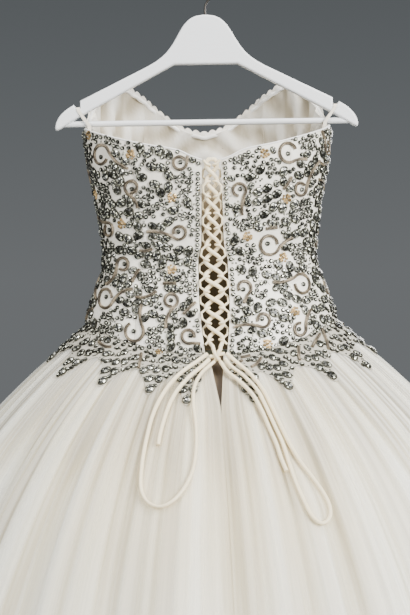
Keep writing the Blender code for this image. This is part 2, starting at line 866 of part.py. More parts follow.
def add_hanging_loop(name, side):
    """A ribbon from inside the side of the bodice, over the notch and back."""
    half = [Vector((side * x, -y, -down)) for x, y, down in RIBBON_ROUTE]
    route = half + [Vector((spot.x, -spot.y, spot.z)) for spot in reversed(half)]
    outer = []
    inner = []
    for i, spot in enumerate(route):
        before = route[max(i - 1, 0)]
        after = route[min(i + 1, len(route) - 1)]
        along = (after - before).normalized()
        away = Vector((1.0, 0.0, 0.0)).cross(along).normalized() * RIBBON_THICKNESS / 2
        across = Vector((RIBBON_WIDTH / 2, 0.0, 0.0))
        outer.append([spot - across + away, spot + across + away])
        inner.append([spot - across - away, spot + across - away])
    add_wall(name, outer, inner, RIBBON)


add_bodice()
add_skirt()
add_applique("hem_back_right", 1, False)
add_applique("hem_back_left", -1, False)
add_applique("hem_front_right", 1, True)
add_applique("hem_front_left", -1, True)
add_loop_tape("loop_tape_right", 1)
add_loop_tape("loop_tape_left", -1)
add_lacing("lacing_right", 1)
add_lacing("lacing_left", -1)
add_knot()
for strand in BOW_STRANDS:
    add_bow_strand(strand)
add_hanger_body()
add_bar("hanger_bar", BAR_RADIUS, BAR_HALF_LENGTH)
add_hook()
add_hanging_loop("hanging_loop_right", 1)
add_hanging_loop("hanging_loop_left", -1)
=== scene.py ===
# %% [markdown]
# # A beaded wedding dress on a hanger
# The dress is seen from its laced back. The solids give its form, and this lesson dresses them:
# satin panels, stones, lacing, bow, lace edge and gathered tulle. Each cell below makes one kind
# of piece and prints what it made.

import math
import random

import bpy
import numpy as np
from mathutils import Matrix, Vector


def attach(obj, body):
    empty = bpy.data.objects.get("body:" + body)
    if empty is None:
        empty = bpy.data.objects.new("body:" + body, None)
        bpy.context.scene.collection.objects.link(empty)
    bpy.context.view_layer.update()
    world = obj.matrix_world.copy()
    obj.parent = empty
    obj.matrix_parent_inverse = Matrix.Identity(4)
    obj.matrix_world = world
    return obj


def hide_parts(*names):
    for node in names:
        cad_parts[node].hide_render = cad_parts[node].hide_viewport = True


SIDES = (("right", 1), ("left", -1))
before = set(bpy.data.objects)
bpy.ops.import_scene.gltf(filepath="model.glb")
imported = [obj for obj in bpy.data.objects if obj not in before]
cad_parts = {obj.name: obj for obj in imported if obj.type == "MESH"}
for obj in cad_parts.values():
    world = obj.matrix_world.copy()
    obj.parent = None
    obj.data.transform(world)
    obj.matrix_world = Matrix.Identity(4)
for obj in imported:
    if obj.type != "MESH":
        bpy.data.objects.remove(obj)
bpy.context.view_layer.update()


def add_object(name, data):
    item = bpy.data.objects.new(name, data)
    bpy.context.collection.objects.link(item)
    return item

# %% [markdown]
# The camera stands 2.4 m behind the dress, level with the waist. It is turned 3 degrees, and
# leans 1.2 degrees, so the hanger's bar rises to the right.

# %% Camera
CAMERA_AWAY, CAMERA_SIDE, CAMERA_DOWN = 2.4, -0.009, 0.502
CAMERA_TURN, CAMERA_LEAN = math.radians(3.0), math.radians(-1.2)
lens = bpy.data.cameras.new("camera")
lens.lens = 95.3
camera = add_object("camera", lens)
camera.location = (-CAMERA_AWAY * math.sin(CAMERA_TURN) + CAMERA_SIDE,
                   -CAMERA_AWAY * math.cos(CAMERA_TURN), -CAMERA_DOWN)
level = Matrix.Rotation(-CAMERA_TURN, 4, "Z") @ Matrix.Rotation(math.radians(90), 4, "X")
camera.rotation_euler = (level @ Matrix.Rotation(CAMERA_LEAN, 4, "Z")).to_euler()
bpy.context.scene.camera = camera
print("The camera stands at", [round(value, 3) for value in camera.location])

# %% [markdown]
# The sizes below are those of the solids. "Down" is the distance below the hook's inner top, and
# an angle runs round the body in degrees from the centre back towards +X.

# %% Sizes of the bodice
BODICE_ROWS = [
    (0.165, 0.1810, 0.086, 0.082),
    (0.236, 0.1810, 0.090, 0.088),
    (0.285, 0.1765, 0.089, 0.086),
    (0.335, 0.1670, 0.084, 0.081),
    (0.380, 0.1600, 0.078, 0.077),
    (0.421, 0.1560, 0.074, 0.074),
    (0.445, 0.1590, 0.076, 0.077),
    (0.480, 0.1715, 0.086, 0.086),
    (0.518, 0.1840, 0.098, 0.097),
    (0.575, 0.1900, 0.112, 0.108),
]
HALF_WIDTH, BACK_DEPTH, FRONT_DEPTH = 1, 2, 3
SQUARE_TOP, SQUARE_SEAM = 2.3, 2.0
SQUARE_FROM, SQUARE_TO = 0.380, 0.520
TOP_EDGE_ROWS = [
    (0, 0.295), (6, 0.288), (13, 0.277), (27, 0.2685), (47, 0.256), (65, 0.246), (84, 0.2374),
    (92, 0.2368), (97, 0.2330), (104, 0.218), (115, 0.196), (128, 0.176), (139, 0.169),
    (151, 0.184), (163, 0.211), (174, 0.235), (180, 0.241),
]
CUP_SIDE, CUP_DOWN, CUP_OUT = 0.082, 0.238, 0.030
CUP_HALF_WIDTH, CUP_HALF_HEIGHT = 0.050, 0.055
SEAM_SIDE, SEAM_DIP = 0.523, 0.045
BODICE_SEAMS = (38.0, 92.0, 152.0)
OPENING_ROWS = [
    (0.295, 0.0139), (0.360, 0.0155), (0.410, 0.0165), (0.440, 0.0215), (0.490, 0.0220),
    (0.530, 0.0200), (0.568, 0.0155),
]
SEAM_GAP = 0.0003
BODICE_WALL = 0.0024

# %% [markdown]
# The skirt's rows give how far it spreads, how deep its gathers are and how deep its broad folds
# are, for each drop below the seam.

# %% Sizes of the skirt
JOIN_GAP = 0.0006
SKIRT_ROWS = [
    (0.000, 0.000, 0.0025, 0.000),
    (0.030, 0.036, 0.0050, 0.001),
    (0.075, 0.090, 0.0080, 0.004),
    (0.150, 0.166, 0.0110, 0.009),
    (0.250, 0.243, 0.0130, 0.015),
    (0.400, 0.330, 0.0150, 0.022),
    (0.580, 0.412, 0.0170, 0.030),
    (0.780, 0.487, 0.0190, 0.036),
    (0.950, 0.545, 0.0200, 0.040),
    (1.097, 0.600, 0.0210, 0.045),
]
SPREAD, GATHER_DEPTH, FOLD_DEPTH = 1, 2, 3
HEM_DOWN = 1.620
SKIRT_UNDER = 0.0024
GATHERS = 72
GORES = 8
WIDE_FOLDS, NARROW_FOLDS = 13, 21
SLIT_HALF_WIDTH, SLIT_LENGTH, SLIT_COLUMNS = 0.0105, 0.075, 6
HEM_POINT_ROWS = [
    (5, 0.022), (10, 0.070), (15, 0.028), (20, 0.044), (22.5, 0.060), (25, 0.046), (30, 0.030),
    (35, 0.036), (40, 0.060), (45, 0.034), (50, 0.028), (55, 0.038), (60, 0.062), (65, 0.036),
    (70, 0.028), (75, 0.034), (80, 0.052), (85, 0.030), (90, 0.026),
]
APPLIQUE_CLEAR = 0.0008

# %% [markdown]
# The lacing has twelve rows between its loops. Its two strands end in the knot, where the bow's
# four strands leave.

# %% Sizes of the lacing and bow
LACE_RADIUS = 0.0030
LACE_ROWS = 12
LACE_TOP = 0.300
LACE_PITCH = 0.0225
LACE_PASS = 0.0035
LACE_SIDE_ROWS = [
    (0.295, 0.0075), (0.360, 0.0080), (0.410, 0.0090), (0.440, 0.0115), (0.490, 0.0125),
    (0.530, 0.0112), (0.560, 0.0090),
]
LOOP_RADIUS, LOOP_BEND, LOOP_RISE = 0.0017, 0.0052, 0.0070
BOW_RADIUS = 0.0032
STRAND_RADIUS = 0.0028
BOW_CLEAR = 0.0012
KNOT_SIZE = (0.0110, 0.0075, 0.0085)
KNOT_DOWN = 0.569
KNOT_OUT = 0.0135
# Each strand: start at the knot, then angle, drop and lift on the skirt, then end at the knot
BOW_STRANDS = {
    "bow_loop_left": ((-0.0134, -0.0020, 0.0022), [
        (-8.0, 0.010, 0.0070), (-13.5, 0.028, 0.0060), (-17.0, 0.052, 0.0050),
        (-18.7, 0.082, 0.0020), (-18.8, 0.114, 0.0005), (-18.4, 0.148, 0.0000),
        (-17.6, 0.176, 0.0000), (-15.9, 0.192, 0.0000), (-13.5, 0.198, 0.0000),
        (-11.2, 0.193, 0.0000), (-9.0, 0.178, 0.0000), (-7.2, 0.154, 0.0000),
        (-6.6, 0.126, 0.0005), (-6.9, 0.096, 0.0015), (-7.9, 0.068, 0.0040),
        (-8.0, 0.045, 0.0060), (-6.0, 0.026, 0.0050),
    ], (-0.0044, -0.0015, -0.0092)),
    "bow_loop_right": ((0.0134, -0.0020, 0.0022), [
        (7.5, 0.013, 0.0070), (11.0, 0.030, 0.0060), (13.2, 0.052, 0.0050),
        (14.0, 0.075, 0.0030), (14.6, 0.098, 0.0010), (15.2, 0.122, 0.0005),
        (16.2, 0.146, 0.0000), (17.6, 0.167, 0.0000), (18.7, 0.186, 0.0000),
        (19.2, 0.204, 0.0000), (18.6, 0.219, 0.0000), (16.9, 0.226, 0.0000),
        (15.4, 0.216, 0.0000), (14.6, 0.196, 0.0000), (14.0, 0.172, 0.0000),
        (13.8, 0.148, 0.0000), (13.7, 0.122, 0.0005), (13.1, 0.098, 0.0010),
        (12.4, 0.075, 0.0040), (11.4, 0.052, 0.0060), (8.7, 0.032, 0.0060), (5.0, 0.017, 0.0060),
    ], (0.0114, -0.0045, -0.0056)),
    "bow_tail_left": ((-0.0114, -0.0045, -0.0056), [
        (-6.2, 0.017, 0.0060), (-10.0, 0.031, 0.0060), (-13.0, 0.049, 0.0060),
        (-14.6, 0.068, 0.0040), (-15.3, 0.088, 0.0015), (-15.6, 0.108, 0.0005),
        (-15.5, 0.122, 0.0000),
    ], None),
    "bow_tail_right": ((0.0044, -0.0015, -0.0092), [
        (3.2, 0.024, 0.0045), (6.6, 0.038, 0.0050), (9.4, 0.056, 0.0060), (10.8, 0.078, 0.0040),
        (11.5, 0.100, 0.0010), (12.1, 0.122, 0.0005), (12.3, 0.142, 0.0000),
        (12.7, 0.158, 0.0000),
    ], None),
}

# %% [markdown]
# The hanger is a flat wooden outline, one half of it, with a round bar and a hook of wire.

# %% Sizes of the hanger
WOOD_TOP = 0.0705
WOOD_THICKNESS = 0.014
WOOD_ROUNDING = 0.0028
HANGER_OUTLINE = [
    (0.0180, 0.0735), (0.0300, 0.0830), (0.0385, 0.0960), (0.0445, 0.1070), (0.0515, 0.1180),
    (0.0615, 0.1300), (0.0777, 0.1420), (0.1100, 0.1580), (0.1862, 0.1953), (0.1862, 0.2063),
    (0.1924, 0.2063), (0.1955, 0.2012), (0.2070, 0.2080), (0.2160, 0.2164), (0.2213, 0.2250),
    (0.2236, 0.2337), (0.2223, 0.2390), (0.2160, 0.2365), (0.2090, 0.2320), (0.1860, 0.2180),
]
HANGER_NOOK = 0.119
BAR_RADIUS, BAR_DOWN, BAR_HALF_LENGTH = 0.0044, 0.2292, 0.2115
WIRE_RADIUS, HOOK_RADIUS = 0.0017, 0.0237
STEM_ROUTE = [(0.0000, 0.0702), (0.0000, 0.0625), (0.0010, 0.0565), (0.0040, 0.0505),
              (0.0090, 0.0455)]
HOOK_FROM, HOOK_TO = -50, 205
RIBBON_WIDTH, RIBBON_THICKNESS = 0.0052, 0.0010
RIBBON_ROUTE = [
    (0.1732, 0.0062, 0.2520), (0.1733, 0.0068, 0.2430), (0.1736, 0.0074, 0.2335),
    (0.1760, 0.0078, 0.2285), (0.1870, 0.0078, 0.2130), (0.1893, 0.0078, 0.2080),
    (0.1893, 0.0068, 0.2058), (0.1893, 0.0050, 0.2055),
]

# %% [markdown]
# The same curves as in the solids, for whole arrays of places at once.

# %% Shape of the body
def read(rows, key, column=1):
    """Read a column on a smooth curve that never overshoots the rows."""
    keys = np.array([row[0] for row in rows], dtype=float)
    values = np.array([row[column] for row in rows], dtype=float)
    steps = np.diff(values) / np.diff(keys)
    same_way = steps[:-1] * steps[1:] > 0
    total = np.where(same_way, steps[:-1] + steps[1:], 1.0)
    middle = np.where(same_way, 2 * steps[:-1] * steps[1:] / total, 0.0)
    slopes = np.concatenate(([steps[0]], middle, [steps[-1]]))
    i = np.clip(np.searchsorted(keys, key, side="right") - 1, 0, len(keys) - 2)
    width = keys[i + 1] - keys[i]
    t = np.clip((key - keys[i]) / width, 0.0, 1.0)
    start = values[i] * (1 + 2 * t) + width * slopes[i] * t
    end = values[i + 1] * (3 - 2 * t) - width * slopes[i + 1] * (1 - t)
    return (1 - t) ** 2 * start + t ** 2 * end


def ease(value):
    t = np.clip(value, 0.0, 1.0)
    return t * t * (3 - 2 * t)


def seam_down(angle):
    return SEAM_SIDE + SEAM_DIP * np.cos(np.radians(angle)) ** 2


def top_down(angle):
    turned = np.abs(angle) % 360
    return read(TOP_EDGE_ROWS, np.minimum(turned, 360 - turned))


def squareness(down):
    blend = ease((down - SQUARE_FROM) / (SQUARE_TO - SQUARE_FROM))
    return SQUARE_TOP + (SQUARE_SEAM - SQUARE_TOP) * blend


def bodice_point(angle, down, out):
    half_width, back, front = (read(BODICE_ROWS, down, column) + out
                               for column in (HALF_WIDTH, BACK_DEPTH, FRONT_DEPTH))
    power = 2 / squareness(down)
    sine = np.sin(np.radians(angle))
    cosine = np.cos(np.radians(angle))
    x = half_width * np.sign(sine) * np.abs(sine) ** power
    y = -np.where(cosine > 0, back, front) * np.sign(cosine) * np.abs(cosine) ** power
    across = (np.abs(x) - CUP_SIDE) / CUP_HALF_WIDTH
    along = (down - CUP_DOWN) / CUP_HALF_HEIGHT
    y = y + CUP_OUT * np.exp(-across ** 2 - along ** 2) * ease(-cosine * 3)
    return np.stack(np.broadcast_arrays(x, y, -down), -1)


def opening_angle(down):
    share = read(OPENING_ROWS, down) / read(BODICE_ROWS, down, HALF_WIDTH)
    return np.degrees(np.arcsin(share ** (squareness(down) / 2)))


def fold_out(angle, drop):
    turn = np.radians(angle)
    wave = 0.5 + 0.25 * np.sin(WIDE_FOLDS * turn + 0.6) + 0.25 * np.sin(NARROW_FOLDS * turn + 2.1)
    return -SKIRT_UNDER - read(SKIRT_ROWS, drop, FOLD_DEPTH) * wave


def skirt_point(angle, drop, out):
    seam = seam_down(angle) + JOIN_GAP
    base = bodice_point(angle, seam, 0.0)
    reach = read(SKIRT_ROWS, drop, SPREAD) + out
    down = seam + drop / (HEM_DOWN - SEAM_SIDE) * (HEM_DOWN - seam)
    turn = np.radians(angle)
    x = base[..., 0] + reach * np.sin(turn)
    y = base[..., 1] - reach * np.cos(turn)
    return np.stack(np.broadcast_arrays(x, y, -down), -1)

# %% [markdown]
# Cloth is a closed thin shell between two grids of points, with its texture measured in metres.
# Cords are round tubes along a route.

# %% Meshes
def unit(vectors):
    return vectors / np.maximum(np.linalg.norm(vectors, axis=-1, keepdims=True), 1e-12)


def add_mesh(name, points, faces, finishes, uv=None, finish_of_face=None, sharp=None):
    mesh = bpy.data.meshes.new(name)
    mesh.from_pydata(np.asarray(points).tolist(), [], [list(map(int, face)) for face in faces])
    for finish in finishes:
        mesh.materials.append(finish)
    if uv is not None:
        layer = mesh.uv_layers.new(name="UVMap")
        corners = np.empty(len(mesh.loops), dtype=np.int32)
        mesh.loops.foreach_get("vertex_index", corners)
        layer.data.foreach_set("uv", np.asarray(uv)[corners].ravel())
    if finish_of_face is not None:
        mesh.polygons.foreach_set("material_index", finish_of_face)
    mesh.shade_smooth()
    if sharp is not None:
        mesh.set_sharp_from_angle(angle=math.radians(sharp))
    return add_object(name, mesh)


def grid_faces(rows, columns, start=0):
    a = (np.arange(rows - 1)[:, None] * columns + np.arange(columns - 1)[None, :] + start).ravel()
    return np.stack([a, a + columns, a + columns + 1, a + 1], 1)


def add_shell(name, outer, inner, uv, finishes):
    """Cloth between two grids. A second finish is for its inner side."""
    rows, columns = outer.shape[:2]
    count = rows * columns
    index = np.arange(count).reshape(rows, columns)
    ring = np.concatenate([index[0], index[1:, -1], index[-1, -2::-1], index[-2:0:-1, 0]])
    after = np.roll(ring, -1)
    front = grid_faces(rows, columns)
    back = grid_faces(rows, columns, count)[:, ::-1]
    rim = np.stack([ring, after, after + count, ring + count], 1)
    faces = np.concatenate([front, back, rim])
    points = np.concatenate([outer.reshape(-1, 3), inner.reshape(-1, 3)])
    inside = np.zeros(len(faces), dtype=np.int32)
    inside[len(front):len(front) + len(back)] = len(finishes) - 1
    both = np.concatenate([uv.reshape(-1, 2)] * 2)
    return add_mesh(name, points, faces, finishes, both, inside, 55)


def mark_fold_shade(piece, shade):
    """Keep how much painted shade each point of the cloth gets in its folds, for its colour."""
    layer = piece.data.attributes.new("fold", "FLOAT", "POINT")
    layer.data.foreach_set("value", np.concatenate([shade.ravel(), shade.ravel()]))


def tube_parts(route, radius, sides, squash=1.0, start=0):
    """Points, faces and texture places of one round tube with closed ends."""
    route = np.asarray(route, dtype=float)
    along = unit(np.gradient(route, axis=0))
    away = np.array((0.0, -1.0, 0.0))
    if abs(along[0] @ away) > 0.9:
        away = np.array((1.0, 0.0, 0.0))
    points, faces, uv = [], [], []
    for here, way, passed in zip(route, along, passed_along(route)):
        away = away - way * (away @ way)
        away = away / np.linalg.norm(away)
        side = np.cross(way, away)
        for k in range(sides):
            turn = 2 * math.pi * k / sides
            points.append(here + radius * (squash * math.cos(turn) * away + math.sin(turn) * side))
            uv.append((passed, radius * turn))
    for a in range(start, start + (len(route) - 1) * sides, sides):
        for k in range(sides):
            b = (k + 1) % sides
            faces.append((a + k, a + b, a + b + sides, a + k + sides))
    last = (len(route) - 1) * sides + start
    faces.append(tuple(range(start + sides - 1, start - 1, -1)))
    faces.append(tuple(range(last, last + sides)))
    return points, faces, uv


def add_tubes(name, routes, radius, sides, finish, squash=1.0, more=((), (), ())):
    """Tubes of one size, with the parts of other tubes before them."""
    points, faces, uv = map(list, more)
    for route in routes:
        parts = tube_parts(route, radius, sides, squash, len(points))
        for kept, new in zip((points, faces, uv), parts):
            kept += new
    return add_mesh(name, points, faces, [finish], uv, None, 60)


def passed_along(points, axis=0):
    """Distance from the first point along a line, or along one axis of a grid."""
    steps = np.linalg.norm(np.diff(points, axis=axis), axis=-1)
    start = np.zeros_like(np.take(steps, [0], axis))
    return np.concatenate([start, np.cumsum(steps, axis)], axis)


def smooth_route(route, step):
    """Points about a step apart on a smooth curve through the route's own points."""
    places = np.asarray([tuple(place) for place in route], dtype=float)
    padded = np.concatenate([[2 * places[0] - places[1]], places, [2 * places[-1] - places[-2]]])
    fine = []
    for before, start, end, after in zip(padded, padded[1:], padded[2:], padded[3:]):
        for t in np.arange(20) / 20:
            fine.append(0.5 * (2 * start + (end - before) * t
                               + (2 * before - 5 * start + 4 * end - after) * t ** 2
                               + (3 * start - before - 3 * end + after) * t ** 3))
    fine = np.array(fine + [places[-1]])
    passed = passed_along(fine)
    goals = np.linspace(0.0, passed[-1], max(2, round(passed[-1] / step)) + 1)
    return np.stack([np.interp(goals, passed, fine[:, k]) for k in range(3)], 1)


def route_length(route):
    return float(passed_along(np.asarray(route))[-1])


def cloth_size(grid):
    """Widest row, mean length and area of a grid of points."""
    falling, rising = grid[1:, 1:] - grid[:-1, :-1], grid[1:, :-1] - grid[:-1, 1:]
    area = 0.5 * np.linalg.norm(np.cross(falling, rising), axis=2).sum()
    width, length = passed_along(grid, 1)[:, -1].max(), passed_along(grid, 0)[-1].mean()
    return float(width), float(length), float(area)


def finish_piece(piece, slot, *nodes):
    """Put a piece on the part, and hide the solids that it stands for. Its material slot is not
    used.
    """
    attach(piece, "root")
    if nodes:
        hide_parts(*nodes)
    return piece

# %% [markdown]
# Materials are small node trees. Streaks and wrinkles come from noise on the cloth's own texture
# places, so they stay with the cloth.

# %% Materials
# Round this place below the bow, the tulle is painted a little darker, a painted shadow of the bow,
# and the veil is tinted warmer.
WARM_SPOT = (-0.02, -0.26, -0.74)
WARM_REACH = (0.05, 0.42)


def add_node(tree, kind, inputs=None, **settings):
    """A new node. Each input takes a value, or a link from another node's socket."""
    node = tree.nodes.new(kind)
    for key, value in settings.items():
        setattr(node, key, value)
    for key, value in (inputs or {}).items():
        if isinstance(value, bpy.types.NodeSocket):
            tree.links.new(value, node.inputs[key])
        else:
            node.inputs[key].default_value = value
    return node


def make_material(name, color, roughness, metallic=0.0):
    finish = bpy.data.materials.new(name)
    finish.use_nodes = True
    shader = finish.node_tree.nodes["Principled BSDF"]
    shader.inputs["Base Color"].default_value = (*color, 1.0)
    shader.inputs["Roughness"].default_value = roughness
    shader.inputs["Metallic"].default_value = metallic
    return finish


def feed_shader(finish, socket, target):
    tree = finish.node_tree
    tree.links.new(socket, tree.nodes["Principled BSDF"].inputs[target])


def add_noise(finish, stretch, scale, detail, source="UV"):
    """A noise texture on the cloth, and the socket that gives it."""
    tree = finish.node_tree
    places = add_node(tree, "ShaderNodeTexCoord").outputs[source]
    mapping = add_node(tree, "ShaderNodeMapping", {"Scale": stretch, "Vector": places})
    return add_node(tree, "ShaderNodeTexNoise", {
        "Scale": scale, "Detail": detail, "Vector": mapping.outputs["Vector"]}).outputs["Fac"]


def ramp_color(tree, value, stops):
    """Colour a value by stops of place and colour."""
    ramp = add_node(tree, "ShaderNodeValToRGB", {"Fac": value})
    ends = ramp.color_ramp.elements
    ends[0].position, ends[1].position = stops[0][0], stops[-1][0]
    ends[0].color, ends[1].color = (*stops[0][1], 1.0), (*stops[-1][1], 1.0)
    for place, color in stops[1:-1]:
        ends.new(place).color = (*color, 1.0)
    return ramp.outputs["Color"]


def add_ramp(finish, value, stops, target="Base Color"):
    feed_shader(finish, ramp_color(finish.node_tree, value, stops), target)


def add_bump(finish, value, distance, strength=1.0):
    bump = add_node(finish.node_tree, "ShaderNodeBump", {
        "Distance": distance, "Strength": strength, "Height": value})
    feed_shader(finish, bump.outputs["Normal"], "Normal")


def height_share(finish, low, high):
    """0 below a height of the piece and 1 above another."""
    tree = finish.node_tree
    places = add_node(tree, "ShaderNodeTexCoord").outputs["Object"]
    split = add_node(tree, "ShaderNodeSeparateXYZ", {"Vector": places})
    return add_node(tree, "ShaderNodeMapRange", {
        "Value": split.outputs["Z"], "From Min": low, "From Max": high}).outputs["Result"]


def near_share(finish, middle, near, far):
    """1 near a place on the piece and 0 far from it."""
    tree = finish.node_tree
    places = add_node(tree, "ShaderNodeTexCoord").outputs["Object"]
    away = add_node(tree, "ShaderNodeVectorMath", {0: places, 1: middle}, operation="DISTANCE")
    return add_node(tree, "ShaderNodeMapRange", {
        "Value": away.outputs["Value"], "From Min": far, "From Max": near,
    }, interpolation_type="SMOOTHSTEP").outputs["Result"]


def read_attribute(finish, name):
    return add_node(finish.node_tree, "ShaderNodeAttribute", attribute_name=name).outputs["Fac"]


def times_plus(finish, value, share, more):
    return add_node(finish.node_tree, "ShaderNodeMath", {0: value, 1: share, 2: more},
                    operation="MULTIPLY_ADD").outputs[0]


def add_up(finish, *parts):
    """The sum of some values, each times its share."""
    value = 0.0
    for source, share in parts:
        value = times_plus(finish, source, share, value)
    return value


EVEN = (1.0, 1.0, 1.0)
SATIN = make_material("satin", (0.97, 0.92, 0.79), 0.34)
add_bump(SATIN, add_noise(SATIN, EVEN, 55.0, 3.0), 0.0012, 0.6)
LINING = make_material("lining", (0.74, 0.66, 0.53), 0.55)
add_bump(LINING, add_noise(LINING, (1.0, 0.35, 1.0), 38.0, 3.0), 0.0030, 0.8)
# The lining's colour is partly painted shade: darker brown below about 0.3 m down, where the inside
# of the bodice lies in shade, and darker in the cup creases' hollows. The noise gives uneven tone.
add_ramp(LINING, add_up(LINING, (height_share(LINING, -0.335, -0.300), 0.665),
                        (read_attribute(LINING, "fold"), -0.30),
                        (add_noise(LINING, (1.0, 0.5, 1.0), 26.0, 3.0), 0.40)),
         [(0.20, (0.25, 0.185, 0.10)), (0.56, (0.44, 0.38, 0.275)), (0.72, (0.66, 0.61, 0.50)),
          (0.90, (0.86, 0.83, 0.75))])
# A dark brown sheet behind the slit: painted shade for the inside of the skirt.
SHADE_SHEET = make_material("underlay", (0.11, 0.075, 0.042), 0.7)
PIPING = make_material("piping", (0.84, 0.82, 0.77), 0.45)
# The net's tan is partly its own colour and partly painted shade for the shadows between the hem's
# stones.
NET = make_material("net", (0.46, 0.43, 0.35), 0.8)
LACE = make_material("lace", (0.84, 0.80, 0.72), 0.7)
CORD = make_material("satin_cord", (1.0, 0.86, 0.58), 0.45)
add_bump(CORD, add_noise(CORD, EVEN, 160.0, 2.0), 0.0006, 0.5)
TULLE = make_material("tulle", (0.78, 0.75, 0.69), 0.85)
# The tulle's colour is partly painted shade: darker and browner in the hollows of its folds and
# gathers, from the fold attribute, and a little darker below the bow. The noise gives streaks and
# uneven tone.
add_ramp(TULLE, add_up(TULLE, (add_noise(TULLE, (1.0, 0.03, 1.0), 60.0, 3.0), 0.30),
                       (read_attribute(TULLE, "fold"), -0.26),
                       (add_noise(TULLE, (1.0, 0.10, 1.0), 13.0, 2.0), 0.70),
                       (near_share(TULLE, WARM_SPOT, *WARM_REACH), -0.04)),
         [(0.0, (0.36, 0.30, 0.18)), (0.16, (0.52, 0.44, 0.26)), (0.34, (0.82, 0.77, 0.60)),
          (0.50, (0.93, 0.925, 0.84))])
VEIL = make_material("veil", (0.92, 0.90, 0.84), 0.9)
add_ramp(VEIL, add_noise(VEIL, (1.0, 0.03, 1.0), 34.0, 3.0),
         [(0.35, (0.08, 0.08, 0.08)), (0.68, (0.50, 0.50, 0.50))], "Alpha")
add_ramp(VEIL, near_share(VEIL, WARM_SPOT, *WARM_REACH),
         [(0.0, (0.94, 0.945, 0.88)), (1.0, (0.98, 0.895, 0.70))])
RIBBON = make_material("ribbon", (0.80, 0.73, 0.61), 0.5)
WOOD = make_material("painted_wood", (0.80, 0.81, 0.81), 0.40)
add_bump(WOOD, add_noise(WOOD, (1.0, 1.0, 6.0), 40.0, 2.0, "Object"), 0.0004, 0.4)
WIRE = make_material("hook_wire", (0.05, 0.045, 0.04), 0.35, 0.9)
BUGLE = make_material("beaded_cord", (0.15, 0.125, 0.085), 0.38, 0.35)
add_ramp(BUGLE, add_noise(BUGLE, (0.2, 1.0, 1.0), 300.0, 0.0),
         [(0.40, (0.05, 0.038, 0.024)), (0.62, (0.30, 0.24, 0.16))])
add_bump(BUGLE, add_noise(BUGLE, (1.0, 0.3, 1.0), 900.0, 1.0), 0.0012, 1.0)


def make_stone_finish():
    """Facets carry their own colour, mostly painted reflections and glints, and each stone its
    tone.
    """
    finish = make_material("stones", (0.5, 0.5, 0.5), 0.14, 0.22)
    tree = finish.node_tree
    paint = add_node(tree, "ShaderNodeAttribute", attribute_name="paint")
    tone = times_plus(finish, read_attribute(finish, "tone"), 0.8, 0.55)
    scaled = add_node(tree, "ShaderNodeVectorMath", {0: paint.outputs["Color"], "Scale": tone},
                      operation="SCALE")
    feed_shader(finish, scaled.outputs["Vector"], "Base Color")
    tree.nodes["Principled BSDF"].inputs["Specular IOR Level"].default_value = 0.1
    return finish


STONES = make_stone_finish()
print("Materials:", ", ".join(finish.name for finish in bpy.data.materials))

# %% [markdown]
# The bow comes first, because its four strands are the free cords. They leave the knot, lie on
# the skirt, and two of them come back to it.

# %% Bow
def lace_plane(down):
    return -read(BODICE_ROWS, down, BACK_DEPTH) + BODICE_WALL / 2


knot = np.array((0.0, float(lace_plane(seam_down(0.0))) - KNOT_OUT, -KNOT_DOWN))
for name, (start, rows, end) in BOW_STRANDS.items():
    route = [knot + start]
    for angle, drop, lift in rows:
        out = fold_out(angle, drop) + BOW_CLEAR + BOW_RADIUS + lift
        route.append(skirt_point(angle, drop, out))
    if end:
        route.append(knot + end)
    route = smooth_route(route, 0.004)
    strand = add_tubes(name + "_cord", [route], STRAND_RADIUS, 14, CORD, 0.86)
    finish_piece(strand, "satin_cord", name)
    route_length(route)
    print(name, "is", round(route_length(route), 3), "m long")

# %% [markdown]
# The knot hides the ends of the lacing and of the bow.

# %% Knot
def add_knot():
    """A soft lump with two turns of cord round it."""
    turns = []
    for lean, reach in ((0.35, 0.0076), (-0.30, 0.0066)):
        ring = []
        for k in range(29):
            turn = 2 * math.pi * k / 28 + lean * 5
            ring.append(knot + np.array((
                0.0035 * math.sin(turn) * math.copysign(1.0, lean) + lean * 0.003,
                -0.0052 * math.cos(turn),
                reach * math.sin(turn + lean),
            )))
        turns.append(ring)
    bar = [knot + np.array((x, -0.0016 * math.cos(x * 110), 0.0018 * math.sin(x * 180)))
           for x in np.linspace(-0.0105, 0.0105, 13)]
    return add_tubes("knot", turns + [bar], 0.0026, 12, CORD)


finish_piece(add_knot(), "satin_cord", "bow_knot")

# %% [markdown]
# The lacing runs through fabric loops on both edges of the opening. Two strands cross in the
# middle, one over the other by turns.

# %% Lacing
def edge_side(down):
    return read(OPENING_ROWS, down)


def lace_side(down):
    return read(LACE_SIDE_ROWS, down)


def lacing_route(side):
    route = []
    last_row = LACE_ROWS - 1
    for interval in range(last_row):
        first_side = side if interval % 2 == 0 else -side
        for t in np.arange(12) / 12:
            down = LACE_TOP + (interval + t) * LACE_PITCH
            x = first_side * lace_side(down) * math.cos(math.pi * t)
            y = lace_plane(down) + first_side * LACE_PASS * math.sin(math.pi * t) ** 2
            route.append((float(x), float(y), -down))
    last_side = side if last_row % 2 == 0 else -side
    last = LACE_TOP + last_row * LACE_PITCH
    depth = float(lace_plane(last))
    turn = last_side * float(lace_side(last))
    route += [(turn, depth, -last), (turn, depth, -last - 0.003),
              (last_side * 0.0080, depth - 0.0065, -last - 0.0060),
              (last_side * 0.0054, knot[1] + 0.0008, -last - 0.0095),
              (last_side * 0.0048, knot[1], -KNOT_DOWN + KNOT_SIZE[2] - 0.001)]
    first_depth = route[0][1]
    return [(side * SEAM_GAP, first_depth, -LACE_TOP + 0.0085),
            (side * 0.0042, first_depth, -LACE_TOP + 0.0085),
            (side * float(lace_side(LACE_TOP)), first_depth, -LACE_TOP + 0.0045)] + route


